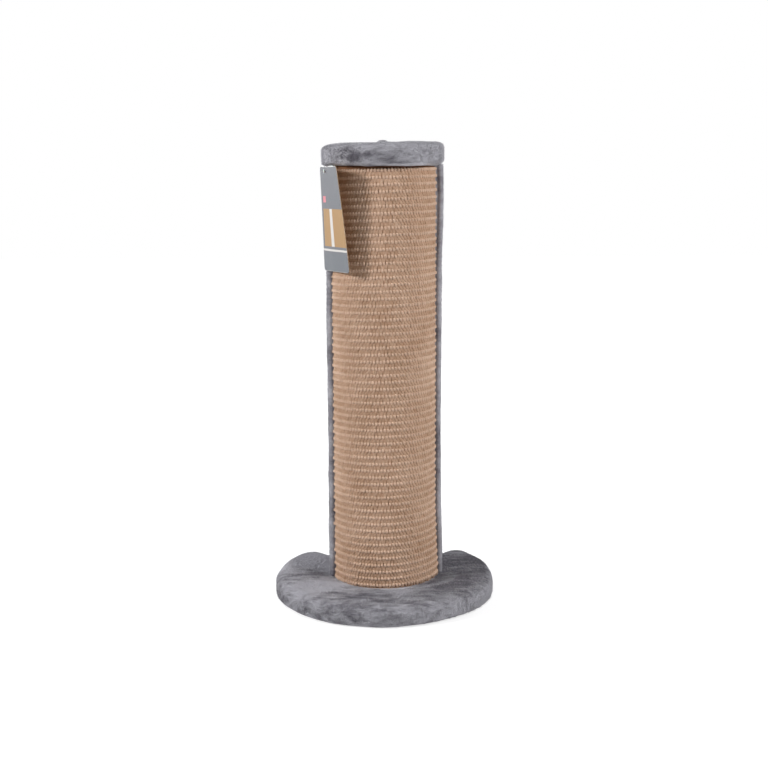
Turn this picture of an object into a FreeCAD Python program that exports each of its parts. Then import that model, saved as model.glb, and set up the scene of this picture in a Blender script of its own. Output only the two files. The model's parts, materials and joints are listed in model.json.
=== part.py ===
import FreeCAD, Part
import math
import os

# Corner cat scratcher. The upright axis is the edge of the wall corner that the notch fits over,
# the floor is at zero height, the carpet faces -Y and the notch opens towards +Y.
# Lengths are in millimetres. Angles are in degrees from the front, positive to the right.

# Base: a disc with a quarter left out
BASE_RADIUS = 121.0
BASE_BACK_CORNER = 17.0
BASE_BOARD = 15.0
BASE_HEM = 26.0
BASE_EDGE_ROUND = 7.0

# Cap: the same outline on a smaller disc, which stands out past the post
CAP_OVERHANG = 3.4
CAP_BACK_CORNER = 11.0
CAP_BOARD = 16.0
CAP_HEM = 15.0
CAP_EDGE_ROUND = 5.0

# Plush: its full pile, its pressed thickness where it is turned under, and its soft corners
PLUSH = 5.0
HEM_PRESSED = 2.5
INNER_CORNER = 2.0
LEAST_CORNER = 2.0

# Sheet under the base
BACKING = 1.0
BACKING_INSET = 8.0

# Post
POST_LENGTH = 453.0
SHELL_RADIUS = 54.0
SHELL_WALL = 4.0
SHELL_BACK_CORNER = 4.0
NOTCH_BOARD = 9.0
END_PLATE = 15.0
PLATE_CORNER = 2.0
PLATE_INNER_CORNER = 0.5

# Plush wrap of the post, with a rolled hem along each edge of the carpet
WRAP = 4.2
WRAP_BACK_CORNER = 8.0
ROLL_DIAMETER = 9.0

# Carpet panel round the front
CARPET = 4.3
CARPET_HALF_ANGLE = 72.5
EDGE_GAP = 3.0

# Low-headed bolts and square nuts
BOLT_DIAMETER = 6.0
BOLT_HEAD_ACROSS = 10.0
BOLT_HEAD = 2.2
BOLT_PAST_NUT = 2.0
NUT_ACROSS = 13.0
NUT = 4.0
BASE_BOLT_INSET = 12.0
BASE_BOLT_ANGLE = 48.0
CAP_BOLT_INSET = 20.0
CAP_HEAD_HOLE = 13.0

# Cover over the bolt in the cap
COVER_DIAMETER = 16.0
COVER_HEIGHT = 5.0
COVER_EDGE = 0.7

# Dowels between post and cap
DOWEL_DIAMETER = 8.0
DOWEL_DEPTH = 10.0
DOWEL_INSET = 11.5
DOWEL_ALONG = 3.5

# Brads from the notch boards into the plates
BRAD_WIRE = 1.8
BRAD_HEAD = 3.6
BRAD_LENGTH = 28.0
BRAD_FROM_CORNER = 12.0
BRAD_FROM_EDGE = 14.0

# Staples
STAPLE_CROWN = 10.0
STAPLE_WIRE = 0.8
STAPLE_LEG = 8.0
BASE_STAPLE_INSET = 17.0
CAP_STAPLE_INSET = 11.0
BASE_STAPLES = 18
CAP_STAPLES = 10

# Hang tag and the nylon pin that carries it
TAG_WIDTH = 56.0
TAG_HEIGHT = 110.0
TAG_THICKNESS = 0.6
TAG_CORNER = 4.0
TAG_ANGLE = -66.0
TAG_FORWARD = 5.0
TAG_DROP = 4.0
TAG_STAND_OFF = 0.8
TAG_HOLE_DIAMETER = 3.0
TAG_HOLE_DROP = 5.0
PIN_BAR_DIAMETER = 1.6
PIN_BAR = 10.0
PIN_THREAD = 0.8
PIN_PADDLE = 0.8
PIN_PADDLE_WIDTH = 3.4
PIN_PADDLE_HEIGHT = 5.0

# Clearances: pieces that nest, holes round their fasteners, pieces that turn in others
NEST = 0.2
HOLE_PLAY = 0.2
TURN_PLAY = 0.3

V = FreeCAD.Vector
UP = V(0, 0, 1)
DOWN = V(0, 0, -1)
DIAGONAL = math.sqrt(0.5)

# Right notch face: the way along it from the inner corner, and the way from it into the body
ALONG = V(DIAGONAL, DIAGONAL, 0)
INTO = V(DIAGONAL, -DIAGONAL, 0)

# Heights, from the floor up
hem_bottom = BACKING
base_board_bottom = hem_bottom + HEM_PRESSED
base_board_top = base_board_bottom + BASE_BOARD
post_bottom = base_board_top + PLUSH
post_top = post_bottom + POST_LENGTH
cap_board_bottom = post_top + HEM_PRESSED
cap_board_top = cap_board_bottom + CAP_BOARD
cap_top = cap_board_top + PLUSH

# Post sizes, from the notch faces inwards and from the axis outwards
notch_board_face = WRAP + NEST
notch_board_back = notch_board_face + NOTCH_BOARD
plate_face = notch_board_back + NEST
plate_radius = SHELL_RADIUS - SHELL_WALL - NEST
board_reach = math.sqrt(plate_radius ** 2 - notch_board_back ** 2)
skin_radius = SHELL_RADIUS + NEST
carpet_radius = skin_radius + CARPET
roll_radius = ROLL_DIAMETER / 2
roll_distance = skin_radius + roll_radius
roll_angle = CARPET_HALF_ANGLE + math.degrees((EDGE_GAP + roll_radius) / roll_distance)
cap_radius = roll_distance + roll_radius + CAP_OVERHANG


def from_front(angle, distance):
    """Point on the floor at an angle from the front."""
    turn = math.radians(angle)
    return V(distance * math.sin(turn), -distance * math.cos(turn), 0)


def mirrored_point(point):
    return V(-point.x, point.y, point.z)


def mirrored(shape):
    return shape.mirror(V(0, 0, 0), V(1, 0, 0))


def group(shapes):
    return Part.makeCompound(shapes)


def rod(diameter, start, direction, length):
    return Part.makeCylinder(diameter / 2, length, start, direction)


def prism(corners, way):
    """Solid swept from a flat polygon."""
    return Part.Face(Part.makePolygon(corners + corners[:1])).extrude(way)


def block(centre, side, rise, way):
    """Block swept from the rectangle about a centre that its two half sides give."""
    corners = [centre - side - rise, centre + side - rise, centre + side + rise, centre - side + rise]
    return prism(corners, way)


def turned(profile, angle=360):
    """Solid of revolution from (distance, height) corners of a closed profile."""
    corners = [V(distance, 0, height) for distance, height in profile]
    return Part.Face(Part.makePolygon(corners + corners[:1])).revolve(V(0, 0, 0), UP, angle)


def notched_outline(height, radius, set_back, corner, inner):
    """Disc with a quarter left out behind two faces that are set back from the axis.

    corner rounds the two back corners, and inner the corner where the faces meet.
    """
    reach = math.sqrt((radius - corner) ** 2 - (set_back + corner) ** 2)
    corner_centre = INTO * (set_back + corner) + ALONG * reach
    outward = V(corner_centre).normalize()
    corner_way = (outward - INTO).normalize()
    lift = UP * height
    face_start = INTO * set_back + ALONG * (inner - set_back) + lift
    face_end = INTO * set_back + ALONG * reach + lift
    corner_middle = corner_centre + corner_way * corner + lift
    rim_end = outward * radius + lift
    inner_middle = V(0, inner * (2 * DIAGONAL - 1) - set_back * 2 * DIAGONAL, height)
    front = V(0, -radius, height)
    right = [face_start, face_end, corner_middle, rim_end]
    left = [mirrored_point(point) for point in right]
    edges = [
        Part.LineSegment(right[0], right[1]),
        Part.Arc(right[1], right[2], right[3]),
        Part.Arc(right[3], front, left[3]),
        Part.Arc(left[3], left[2], left[1]),
        Part.LineSegment(left[1], left[0]),
        Part.Arc(left[0], inner_middle, right[0]),
    ]
    return Part.Wire([edge.toShape() for edge in edges])


def notched_slab(bottom, top, *sizes):
    return Part.Face(notched_outline(bottom, *sizes)).extrude(UP * (top - bottom))


def drawn_in(radius, corner, inset):
    """Sizes of a plush outline drawn in by the same distance all round."""
    return radius - inset, inset, max(corner - inset, LEAST_CORNER), INNER_CORNER + inset


def soft_slab(bottom, top, radius, corner, edge_round):
    """Notched slab with a soft upper edge."""
    levels = [(bottom, 0)]
    for turn in (0, math.pi / 4, math.pi / 2):
        height = top - edge_round * (1 - math.sin(turn))
        levels.append((height, edge_round * (1 - math.cos(turn))))
    outlines = [notched_outline(height, *drawn_in(radius, corner, inset)) for height, inset in levels]
    return Part.makeLoft(outlines, True, True)


def plush_cover(bottom, board_bottom, board_top, radius, corner, edge_round, hem):
    """Plush drawn over a board, with a hem turned under all round."""
    cover = soft_slab(bottom, board_top + PLUSH, radius, corner, edge_round)
    pocket = notched_slab(board_bottom, board_top, *drawn_in(radius, corner, PLUSH - NEST))
    mouth = notched_slab(bottom, board_bottom, *drawn_in(radius, corner, hem))
    return cover.cut([pocket, mouth])


def bolt(head_face, way, length):
    """Bolt whose hexagon head stands behind head_face and whose shank runs ahead of it."""
    reach = BOLT_HEAD_ACROSS / math.sqrt(3)
    corners = [head_face + from_front(turn, reach) for turn in range(0, 360, 60)]
    return prism(corners, way * -BOLT_HEAD).fuse(rod(BOLT_DIAMETER, head_face, way, length))


def bolt_hole(start, length):
    return rod(BOLT_DIAMETER + 2 * HOLE_PLAY, start, UP, length)


def square_nut(bottom):
    half = NUT_ACROSS / 2
    return block(bottom, V(half, 0, 0), V(0, half, 0), UP * NUT).cut(bolt_hole(bottom, NUT))


def dowel_hole(start):
    return rod(DOWEL_DIAMETER + 2 * HOLE_PLAY, start, UP, DOWEL_DEPTH)


def staple(point, heading):
    """Wire staple with its crown flat below and two legs driven upwards."""
    half = STAPLE_CROWN / 2
    crown = Part.makeBox(STAPLE_CROWN, STAPLE_WIRE, STAPLE_WIRE, V(-half, -STAPLE_WIRE / 2, 0))
    legs = [
        Part.makeBox(STAPLE_WIRE, STAPLE_WIRE, STAPLE_LEG, V(start, -STAPLE_WIRE / 2, 0))
        for start in (-half, half - STAPLE_WIRE)
    ]
    shape = crown.fuse(legs).removeSplitter()
    turn = math.degrees(math.atan2(heading.y, heading.x))
    shape.Placement = FreeCAD.Placement(point, FreeCAD.Rotation(UP, turn))
    return shape


def staples_along(outline, count):
    """Staples at an even pitch along a closed outline, each lying along it."""
    halves = 2 * count
    points = outline.discretize(Number=halves + 1)
    middles = range(1, halves, 2)
    return group([staple(points[at], points[at + 1] - points[at - 1]) for at in middles])


# Places of the fasteners
base_bolt_distance = plate_radius - BASE_BOLT_INSET
base_bolt_places = [
    from_front(angle, base_bolt_distance) for angle in (-BASE_BOLT_ANGLE, BASE_BOLT_ANGLE)
]
bottom_nut_seat = post_bottom + END_PLATE
cap_bolt_place = from_front(0, plate_radius - CAP_BOLT_INSET)
top_nut_seat = post_top - END_PLATE
right_dowel_place = INTO * (plate_face + DOWEL_INSET) + ALONG * DOWEL_ALONG
dowel_places = [right_dowel_place, mirrored_point(right_dowel_place)]


def base_board():
    board = notched_slab(
        base_board_bottom, base_board_top, *drawn_in(BASE_RADIUS, BASE_BACK_CORNER, PLUSH)
    )
    return board.cut([bolt_hole(place + UP * base_board_bottom, BASE_BOARD) for place in base_bolt_places])


def base_plush_cover():
    cover = plush_cover(
        hem_bottom, base_board_bottom, base_board_top,
        BASE_RADIUS, BASE_BACK_CORNER, BASE_EDGE_ROUND, BASE_HEM,
    )
    return cover.cut([bolt_hole(place + UP * base_board_top, PLUSH) for place in base_bolt_places])


def base_backing_sheet():
    return notched_slab(0, BACKING, *drawn_in(BASE_RADIUS, BASE_BACK_CORNER, BACKING_INSET))


def base_staples():
    sizes = drawn_in(BASE_RADIUS, BASE_BACK_CORNER, BASE_STAPLE_INSET)
    return staples_along(notched_outline(0, *sizes), BASE_STAPLES)


def bolts():
    """Two bolts up through the base into the post, and one down through the cap."""
    past_seat = NUT + BOLT_PAST_NUT
    base_length = bottom_nut_seat + past_seat - base_board_bottom
    cap_length = cap_board_top - top_nut_seat + past_seat
    shapes = [bolt(place + UP * base_board_bottom, UP, base_length) for place in base_bolt_places]
    shapes.append(bolt(cap_bolt_place + UP * cap_board_top, DOWN, cap_length))
    return group(shapes)


def square_nuts():
    shapes = [square_nut(place + UP * bottom_nut_seat) for place in base_bolt_places]
    shapes.append(square_nut(cap_bolt_place + UP * (top_nut_seat - NUT)))
    return group(shapes)


def brad(place):
    """Square brad driven from the right notch board's face, with its head flush."""
    half = BRAD_WIRE / 2
    wire = Part.makeBox(BRAD_WIRE, BRAD_WIRE, BRAD_LENGTH, V(-half, -half, 0))
    head = Part.makeBox(BRAD_WIRE, BRAD_HEAD, BRAD_WIRE, V(-half, -BRAD_HEAD / 2, 0))
    shape = wire.fuse(head).removeSplitter()
    shape.Placement = FreeCAD.Placement(place, FreeCAD.Rotation(ALONG, V(0, 0, 0), INTO, "ZXY"))
    return shape


def frame_brads():
    """Two brads from each notch board into each plate."""
    brads = []
    for height in (post_bottom + END_PLATE / 2, post_top - END_PLATE / 2):
        for along in (BRAD_FROM_CORNER, board_reach - BRAD_FROM_EDGE):
            right_brad = brad(INTO * notch_board_face + ALONG * along + UP * height)
            brads += [right_brad, mirrored(right_brad)]
    return group(brads)


def post_plate(bottom):
    slab = notched_slab(
        bottom, bottom + END_PLATE, plate_radius, plate_face, PLATE_CORNER, PLATE_INNER_CORNER
    )
    return slab.cut(frame_brads())


def bottom_plate():
    holes = [bolt_hole(place + UP * post_bottom, END_PLATE) for place in base_bolt_places]
    return post_plate(post_bottom).cut(holes)


def top_plate():
    holes = [dowel_hole(place + UP * (post_top - DOWEL_DEPTH)) for place in dowel_places]
    holes.append(bolt_hole(cap_bolt_place + UP * top_nut_seat, END_PLATE))
    return post_plate(top_nut_seat).cut(holes)


def notch_board(start):
    """Upright board behind the right notch face, from start to the inside of the shell."""
    corners = [
        INTO * depth + ALONG * along + UP * post_bottom
        for depth, along in (
            (notch_board_face, start), (notch_board_face, board_reach),
            (notch_board_back, board_reach), (notch_board_back, start),
        )
    ]
    return prism(corners, UP * POST_LENGTH)


def right_notch_board():
    """The board that laps the other one's edge at the inner corner."""
    return notch_board(-notch_board_back).cut(frame_brads())


def left_notch_board():
    return mirrored(notch_board(-notch_board_face)).cut(frame_brads())


def post_shell():
    """Three quarters of a tube, ending at the notch boards' faces."""
    core = notched_slab(
        post_bottom, post_top, SHELL_RADIUS, notch_board_face, SHELL_BACK_CORNER, INNER_CORNER
    )
    return core.cut(rod(2 * (SHELL_RADIUS - SHELL_WALL), UP * post_bottom, UP, POST_LENGTH))


def post_plush_wrap():
    """Plush round the sides and the notch, ending in a rolled hem beside each carpet edge."""
    outer = notched_slab(
        post_bottom, post_top, skin_radius + WRAP, 0, WRAP_BACK_CORNER, INNER_CORNER
    )
    core = notched_slab(
        post_bottom, post_top, skin_radius, WRAP, SHELL_BACK_CORNER, INNER_CORNER + WRAP
    )
    lift = UP * post_bottom
    far = 4 * roll_distance
    right_edge = from_front(roll_angle, far)
    front_corner = V(far, -far, 0)
    carpet_side = prism(
        [
            lift, right_edge + lift, front_corner + lift,
            mirrored_point(front_corner) + lift, mirrored_point(right_edge) + lift,
        ],
        UP * POST_LENGTH,
    )
    right_roll = rod(ROLL_DIAMETER, from_front(roll_angle, roll_distance) + lift, UP, POST_LENGTH)
    return outer.cut([core, carpet_side]).fuse([right_roll, mirrored(right_roll)]).removeSplitter()


def sisal_carpet():
    """Carpet panel turned round the front of the shell."""
    bottom = post_bottom + NEST
    top = post_top - NEST
    carpet = turned(
        [(skin_radius, bottom), (carpet_radius, bottom), (carpet_radius, top), (skin_radius, top)],
        2 * CARPET_HALF_ANGLE,
    )
    carpet.rotate(V(0, 0, 0), UP, -90 - CARPET_HALF_ANGLE)
    return carpet


# Tag frame: the way out from the post, the way forward along it, and the pin's turning axis
tag_out = from_front(TAG_ANGLE, 1)
tag_forward = V(-tag_out.y, tag_out.x, 0)
roll_depth = roll_distance * math.cos(math.radians(roll_angle + TAG_ANGLE)) + roll_radius
tag_reach = max(carpet_radius, roll_depth)
pin_axis = tag_out * tag_reach + tag_forward * TAG_FORWARD + UP * post_top
pin_bend = pin_axis + DOWN * (TAG_DROP + TAG_HOLE_DROP)


def pin_bar(play=0.0):
    start = pin_axis - tag_forward * (PIN_BAR / 2 + play)
    return rod(PIN_BAR_DIAMETER + 2 * play, start, tag_forward, PIN_BAR + 2 * play)


def cap_board():
    board = notched_slab(
        cap_board_bottom, cap_board_top, *drawn_in(cap_radius, CAP_BACK_CORNER, PLUSH)
    )
    lift = UP * cap_board_bottom
    holes = [dowel_hole(place + lift) for place in dowel_places]
    return board.cut(holes + [bolt_hole(cap_bolt_place + lift, CAP_BOARD)])


def cap_plush_cover():
    cover = plush_cover(
        post_top, cap_board_bottom, cap_board_top,
        cap_radius, CAP_BACK_CORNER, CAP_EDGE_ROUND, CAP_HEM,
    )
    head_hole = rod(CAP_HEAD_HOLE, cap_bolt_place + UP * cap_board_top, UP, PLUSH)
    return cover.cut([head_hole, pin_bar(TURN_PLAY)])


def cap_staples():
    sizes = drawn_in(cap_radius, CAP_BACK_CORNER, CAP_STAPLE_INSET)
    return staples_along(notched_outline(post_top, *sizes), CAP_STAPLES)


def cap_dowels():
    length = 2 * DOWEL_DEPTH + HEM_PRESSED
    lift = UP * (post_top - DOWEL_DEPTH)
    return group([rod(DOWEL_DIAMETER, place + lift, UP, length) for place in dowel_places])


def cap_bolt_cover():
    """Round cover on the plush over the bolt's head."""
    rim = COVER_DIAMETER / 2
    shoulder = COVER_HEIGHT - COVER_EDGE
    cover = turned([(0, 0), (rim, 0), (rim, shoulder), (rim - COVER_EDGE, COVER_HEIGHT), (0, COVER_HEIGHT)])
    return cover.translated(cap_bolt_place + UP * cap_top)


def tag_card():
    """Flat card with rounded corners, hung on the pin just clear of the rolled hem."""
    centre = pin_axis + tag_out * TAG_STAND_OFF + DOWN * (TAG_DROP + TAG_HEIGHT / 2)
    side = tag_forward * (TAG_WIDTH / 2)
    card = block(centre, side, UP * (TAG_HEIGHT / 2), tag_out * TAG_THICKNESS)
    corner_edges = [edge for edge in card.Edges if edge.Length < 2 * TAG_THICKNESS]
    card = card.makeFillet(TAG_CORNER, corner_edges)
    return card.cut(rod(TAG_HOLE_DIAMETER, pin_bend, tag_out, TAG_STAND_OFF + 2 * TAG_THICKNESS))


def tag_pin():
    """Nylon pin: a bar in the cap's hem, a thread down behind the card and a paddle in front of it."""
    half = PIN_THREAD / 2
    paddle_depth = TAG_STAND_OFF + TAG_THICKNESS + TURN_PLAY
    paddle_side = tag_forward * (PIN_PADDLE_WIDTH / 2)
    paddle_start = pin_bend + tag_out * paddle_depth
    down = block(pin_axis, tag_forward * half, tag_out * half, pin_bend + DOWN * half - pin_axis)
    through = block(pin_bend, tag_forward * half, UP * half, tag_out * paddle_depth)
    paddle = block(paddle_start, paddle_side, UP * (PIN_PADDLE_HEIGHT / 2), tag_out * PIN_PADDLE)
    return pin_bar().fuse([down, through, paddle]).removeSplitter()


PIECES = [
    base_board, base_plush_cover, base_backing_sheet, base_staples,
    bolts, square_nuts,
    bottom_plate, top_plate, left_notch_board, right_notch_board, frame_brads,
    post_shell, post_plush_wrap, sisal_carpet,
    cap_board, cap_plush_cover, cap_staples, cap_dowels, cap_bolt_cover,
    tag_card, tag_pin,
]

os.makedirs("parts", exist_ok=True)
for piece in PIECES:
    piece().exportStep("parts/" + piece.__name__ + ".step")
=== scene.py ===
import json
import math
from collections import namedtuple

import bmesh
import bpy
import numpy as np
from bpy.props import FloatProperty, FloatVectorProperty, IntProperty, PointerProperty
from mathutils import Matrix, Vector, noise


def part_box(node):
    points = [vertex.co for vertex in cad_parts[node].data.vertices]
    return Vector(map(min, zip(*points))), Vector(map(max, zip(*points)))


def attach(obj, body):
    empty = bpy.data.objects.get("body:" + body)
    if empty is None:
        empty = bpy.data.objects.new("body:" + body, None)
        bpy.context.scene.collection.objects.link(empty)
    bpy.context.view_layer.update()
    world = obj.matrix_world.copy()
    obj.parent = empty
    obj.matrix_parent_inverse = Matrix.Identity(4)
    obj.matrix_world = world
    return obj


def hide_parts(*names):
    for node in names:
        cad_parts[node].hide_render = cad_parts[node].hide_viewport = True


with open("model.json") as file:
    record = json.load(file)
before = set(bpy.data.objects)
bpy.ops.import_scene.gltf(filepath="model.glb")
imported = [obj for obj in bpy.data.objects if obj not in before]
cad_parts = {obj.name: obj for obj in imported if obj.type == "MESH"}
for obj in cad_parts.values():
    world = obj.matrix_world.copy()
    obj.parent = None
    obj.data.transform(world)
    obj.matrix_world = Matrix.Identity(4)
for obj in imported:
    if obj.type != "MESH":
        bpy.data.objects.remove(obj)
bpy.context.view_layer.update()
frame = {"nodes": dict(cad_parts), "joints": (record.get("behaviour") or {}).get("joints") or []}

bl_info = {
    "name": "Corner cat scratcher",
    "version": (1, 0, 0),
    "blender": (4, 5, 0),
    "location": "View3D > Sidebar > Scratcher",
    "description": "Plush, sisal carpet and hang tag of a corner cat scratcher, round its solid parts",
    "category": "Object",
}

# Corners of the solid parts, in metres
BASE_LOW, BASE_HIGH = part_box("base_plush_cover")
BASE_BOARD_LOW, BASE_BOARD_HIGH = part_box("base_board")
CAP_LOW, CAP_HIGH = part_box("cap_plush_cover")
CAP_BOARD_LOW, CAP_BOARD_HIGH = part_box("cap_board")
POST_LOW, POST_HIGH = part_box("post_shell")
CARPET_LOW, CARPET_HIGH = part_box("sisal_carpet")
SHEET_LOW, SHEET_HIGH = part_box("base_backing_sheet")
COVER_LOW, COVER_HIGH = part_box("cap_bolt_cover")
TAG_LOW, TAG_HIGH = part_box("tag_card")

POST_RADIUS = -POST_LOW.y
TAG_HEIGHT = TAG_HIGH.z - TAG_LOW.z

# The notch: the way along its right face, the way into the post from that face, and where both faces look
DIAGONAL = math.sqrt(0.5)
ALONG = np.array((DIAGONAL, DIAGONAL))
INTO = np.array((DIAGONAL, -DIAGONAL))
RIGHT_FACE_TURN = 0.75 * math.pi
LEFT_FACE_TURN = 0.25 * math.pi
MIRROR = np.array((-1, 1))
AXIS = (0, 0)

# Points on the stretches of a notched outline, its least roundings, and how far forward its middle lies
FACE_POINTS = 28
LOBE_POINTS = 18
RIM_POINTS = 168
NOOK_POINTS = 8
INNER_CORNER = 0.002
LEAST_CORNER = 0.002
MIDDLE_SHARE = 0.3

# Where the cap's padding sinks, lifts, hangs and stands up: each stretch runs from none to all of it
CAP_SINKS_LEFT = (0.03, 0.07)
CAP_LIFTS_RIGHT = (0.036, 0.062)
CAP_LIFTS_LEFT = (0.034, 0.06)
CAP_LIFTS_LEFT_FRONT = (-0.004, 0.012)
CAP_LEFT_LIFT = 0.65
CAP_RIM = (0.058, 0.065)
CAP_HANGS_FRONT = (0.025, 0.045)
CAP_HANGS_RIM = (0.0605, 0.064)
CAP_HANGS_ACROSS = (-0.036, -0.012)
CAP_RISES_RIGHT = ((0.01, 0.036), (0.044, 0.06))

# Where the foot's padding lifts, stands up and is pressed down by the post, and how far it has no lumps
FOOT_RIM = (0.1, 0.118)
FOOT_LIFT_TURN = 0.7
FOOT_LIFT_SPREAD = 0.45
FOOT_RISES_RIGHT = (0.058, 0.085)
FOOT_RISES_BACK = (0.0, 0.045)
FOOT_DISH = (0.062, 0.09)
FOOT_STILL = 0.066

# How far the pile is brushed up all over, on some sides, and in soft strokes: middle, reach and strength.
# Parts of it are painted light and painted shade, noted where they stand.
EVEN_BRUSH = 0.03
# Painted highlight: cap faces that look up are lighter, standing in for the light that falls on the cap's
# top.
CAP_TOP_PAINTED_HIGHLIGHT = 0.1
# Painted light: a lighter band along the cap's lower edge, standing in for light where the edge turns down
# into shade.
CAP_HEM_PAINTED_LIGHT = 0.05
CAP_PAINTED_LIGHT_BAND = (-0.008, -0.002)
CAP_MARKS_AND_PAINTED_HIGHLIGHT = [
    ((-0.031, -0.059, 0.4855), (0.008, 0.012, 0.008), -0.11),
    ((-0.050, -0.044, 0.489), (0.013, 0.020, 0.012), 0.10),
    ((0.011, -0.066, 0.485), (0.006, 0.012, 0.008), -0.03),
    ((0.036, -0.056, 0.487), (0.010, 0.014, 0.010), -0.03),
    ((0.060, -0.030, 0.488), (0.012, 0.020, 0.012), 0.07),
    # Painted highlight: this stroke lightens the cap's left end, standing in for the rim light that wraps
    # round it.
    ((-0.065, -0.010, 0.487), (0.006, 0.020, 0.012), 0.10),
]
# Painted shade: the foot's right top, behind its front, is darker where the post shades it.
FOOT_RIGHT_PAINTED_SHADE = -0.085
FOOT_SHADED_RIGHT = (0.02, 0.06)
FOOT_SHADED_BEHIND_FRONT = (-0.1, -0.05)
# Painted light: the foot's left top is lighter, standing in for the light that falls on it from the left.
FOOT_LEFT_PAINTED_LIGHT = 0.05
FOOT_LIT_LEFT = (0.02, 0.07)
FOOT_MARKS_AND_PAINTED_LIGHT = [
    # Painted light: this stroke lightens the foot's left back lobe, standing in for the light that falls
    # there.
    ((-0.088, 0.034, 0.0235), (0.034, 0.030, 0.020), 0.14),
    ((-0.102, -0.019, 0.0235), (0.022, 0.010, 0.020), -0.06),
    ((-0.077, -0.009, 0.0235), (0.020, 0.009, 0.020), -0.09),
    ((0.086, -0.052, 0.0235), (0.034, 0.034, 0.006), -0.08),
    ((0.006, -0.113, 0.019), (0.040, 0.022, 0.008), -0.085),
    ((0.055, -0.092, 0.0235), (0.020, 0.012, 0.006), -0.08),
    ((-0.052, -0.109, 0.012), (0.030, 0.020, 0.012), 0.06),
    ((0.078, -0.094, 0.008), (0.034, 0.024, 0.009), 0.07),
    ((-0.118, -0.030, 0.012), (0.012, 0.026, 0.012), 0.06),
]

# Rings of a plush cover, lumps of its padding, bounds of its pile and sway of its tufts
POCKET_SHARES = (0.35, 0.7, 1.0)
UNDER_RINGS = 5
SIDE_RINGS = 5
EDGE_RINGS = 8
TOP_RINGS = 22
LUMP_SCALE = 26
FINE_LUMP_SCALE = 80
STILL_EASE = 0.012
SAME_HEIGHT = 1e-6
PILE_ABOVE = 0.0016
PILE_UNDER_POST = 0.006
FLOW_SCALE = 24.0
FLOW_SWAY = 4.0
WILD_SWAY = 0.2
TUFT_SIZES = (0.6, 1.1)

# The post's wrap: points round it, its rolled hems and the lips between hems and carpet
WRAP_RINGS = 130
WRAP_TUCK = 0.0015
WRAP_PILE_SHARE = 0.42
NOTCH_POINTS = 16
CORNER_POINTS = 12
FLANK_POINTS = 22
ROLL_POINTS = 24
LIP_POINTS = 6
LIP_END_POINTS = 2
ROLL_TURNS = (0.1 * math.pi, -0.78 * math.pi)
ROLL_JOIN = 0.35
ROLL_CREST = 0.93
ROLL_SWELL = 0.12
SLOW_WAVES = 7
QUICK_WAVES = 23
SWELL_WAVES = 15
BULGE_UP = 0.93
BULGE_SPREAD = 0.14
LIP_START = 0.6
LIP_HEIGHT = 0.0012
LIP_CREST = 0.0006
LIP_FOOT = 0.0001
LIP_TURN = 0.002
INNER_TURN = 0.02
INNER_BACK_CORNER = 0.004
INNER_POINTS = 12
INNER_CORNER_POINTS = 6
LEFT_HEM_BRUSH = -0.02
RIGHT_HEM_BRUSH = 0.015
# Painted light: the lip between hem and carpet is lighter, standing in for light in that crease.
LIP_PAINTED_LIGHT = 0.08
SIDE_BRUSH = 0.02
HEM_CALM = 0.5

# The carpet: its bounds, how its loops differ, and where its lower end is pressed down and flares
CARPET_INNER = POST_RADIUS + 0.0002
CARPET_BOTTOM = CARPET_LOW.z - 0.0005
CARPET_TOP = CARPET_HIGH.z - 0.0008
CREST_PROUD = 0.0004
BACKING_COLUMNS = 61
BACKING_RINGS = 25
TINTS = (0.21, 0.49)
WIDTHS = (0.93, 1.08)
TILT_EASE = 3.5
PRESSED_END = 0.09
FLARE_TURNS = (0.75, 1.4)

# The card: its crease as shares of width and height, its grid, its hole and its pin
CREASE_AT = 0.42
CREASE_START = 0.25
CREASE_EASE = 0.3
CARD_COLUMNS = 15
CARD_ROWS = 27
CARD_CORNER_STEPS = np.array((0, 0.25, 0.5, 0.75))
HOLE_ACROSS = 0.3
HOLE_DOWN = 0.005
BAR_HALF = 0.005
BAR_RADIUS = 0.0008
THREAD_RADIUS = 0.0004
THREAD_BEND = 0.6
THREAD_SAG = 0.0006
THREAD_BEHIND = 0.0014
THREAD_AHEAD = 0.0009
PADDLE_RADIUS = 0.0019
PADDLE_THICKNESS = 0.0008

# Rings of the sheet under the foot, as shares of its outline
SHEET_SHARES = (0.15, 0.4, 0.7, 0.9, 1.0)

# The bolt's cover, as shares of its solid's height and radius, and its brim as shares of radius and brim
DOME_RISE = 0.64
DOME_BRIM = 0.2
BRIM_PROFILE = ((1, 0), (1, 0.6), (0.95, 0.95), (0.85, 1))
DOME_RADIUS = 0.78
DOME_TURNS = (0.1, 1.45)
DOME_RINGS = 10
DOME_POINTS = 48

# The stage: place and size of each lamp, the spot that they light, the floor and the camera's film
LAMPS = {
    "key": ((-1.83, -0.81, 1.06), 0.35),
    "fill": ((1.62, -1.13, 1.25), 0.9),
    "rim": ((-0.85, 1.4, 1.15), 0.8),
}
LAMP_AIM = (0, 0, 0.26)
FLOOR_HALF = 6.0
FLOOR_LEVEL = -0.0002
FLOOR_FADE = (0.2, 0.9)
FLOOR_GLOW = 0.7
FLOOR_FAR_GLOW = 0.22
FILM_WIDTH = 36.0


def screen_colour(red, green, blue):
    """Linear colour from the 0 to 255 values that a screen shows."""
    shares = [value / 255 for value in (red, green, blue)]
    return [s / 12.92 if s <= 0.04045 else ((s + 0.055) / 1.055) ** 2.4 for s in shares]


def colour_property(label, about, red, green, blue):
    return FloatVectorProperty(
        name=label, description=about, subtype="COLOR", size=3, min=0, max=1,
        default=screen_colour(red, green, blue),
    )


def number_property(label, about, value, **settings):
    return FloatProperty(name=label, description=about, default=value, **settings)


def length_property(label, about, metres):
    return number_property(label, about, metres, subtype="DISTANCE", unit="LENGTH")


def angle_property(label, about, degrees):
    return number_property(label, about, math.radians(degrees), subtype="ANGLE")


def power_property(label, about, watts):
    return number_property(label, about, watts, unit="POWER")


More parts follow.
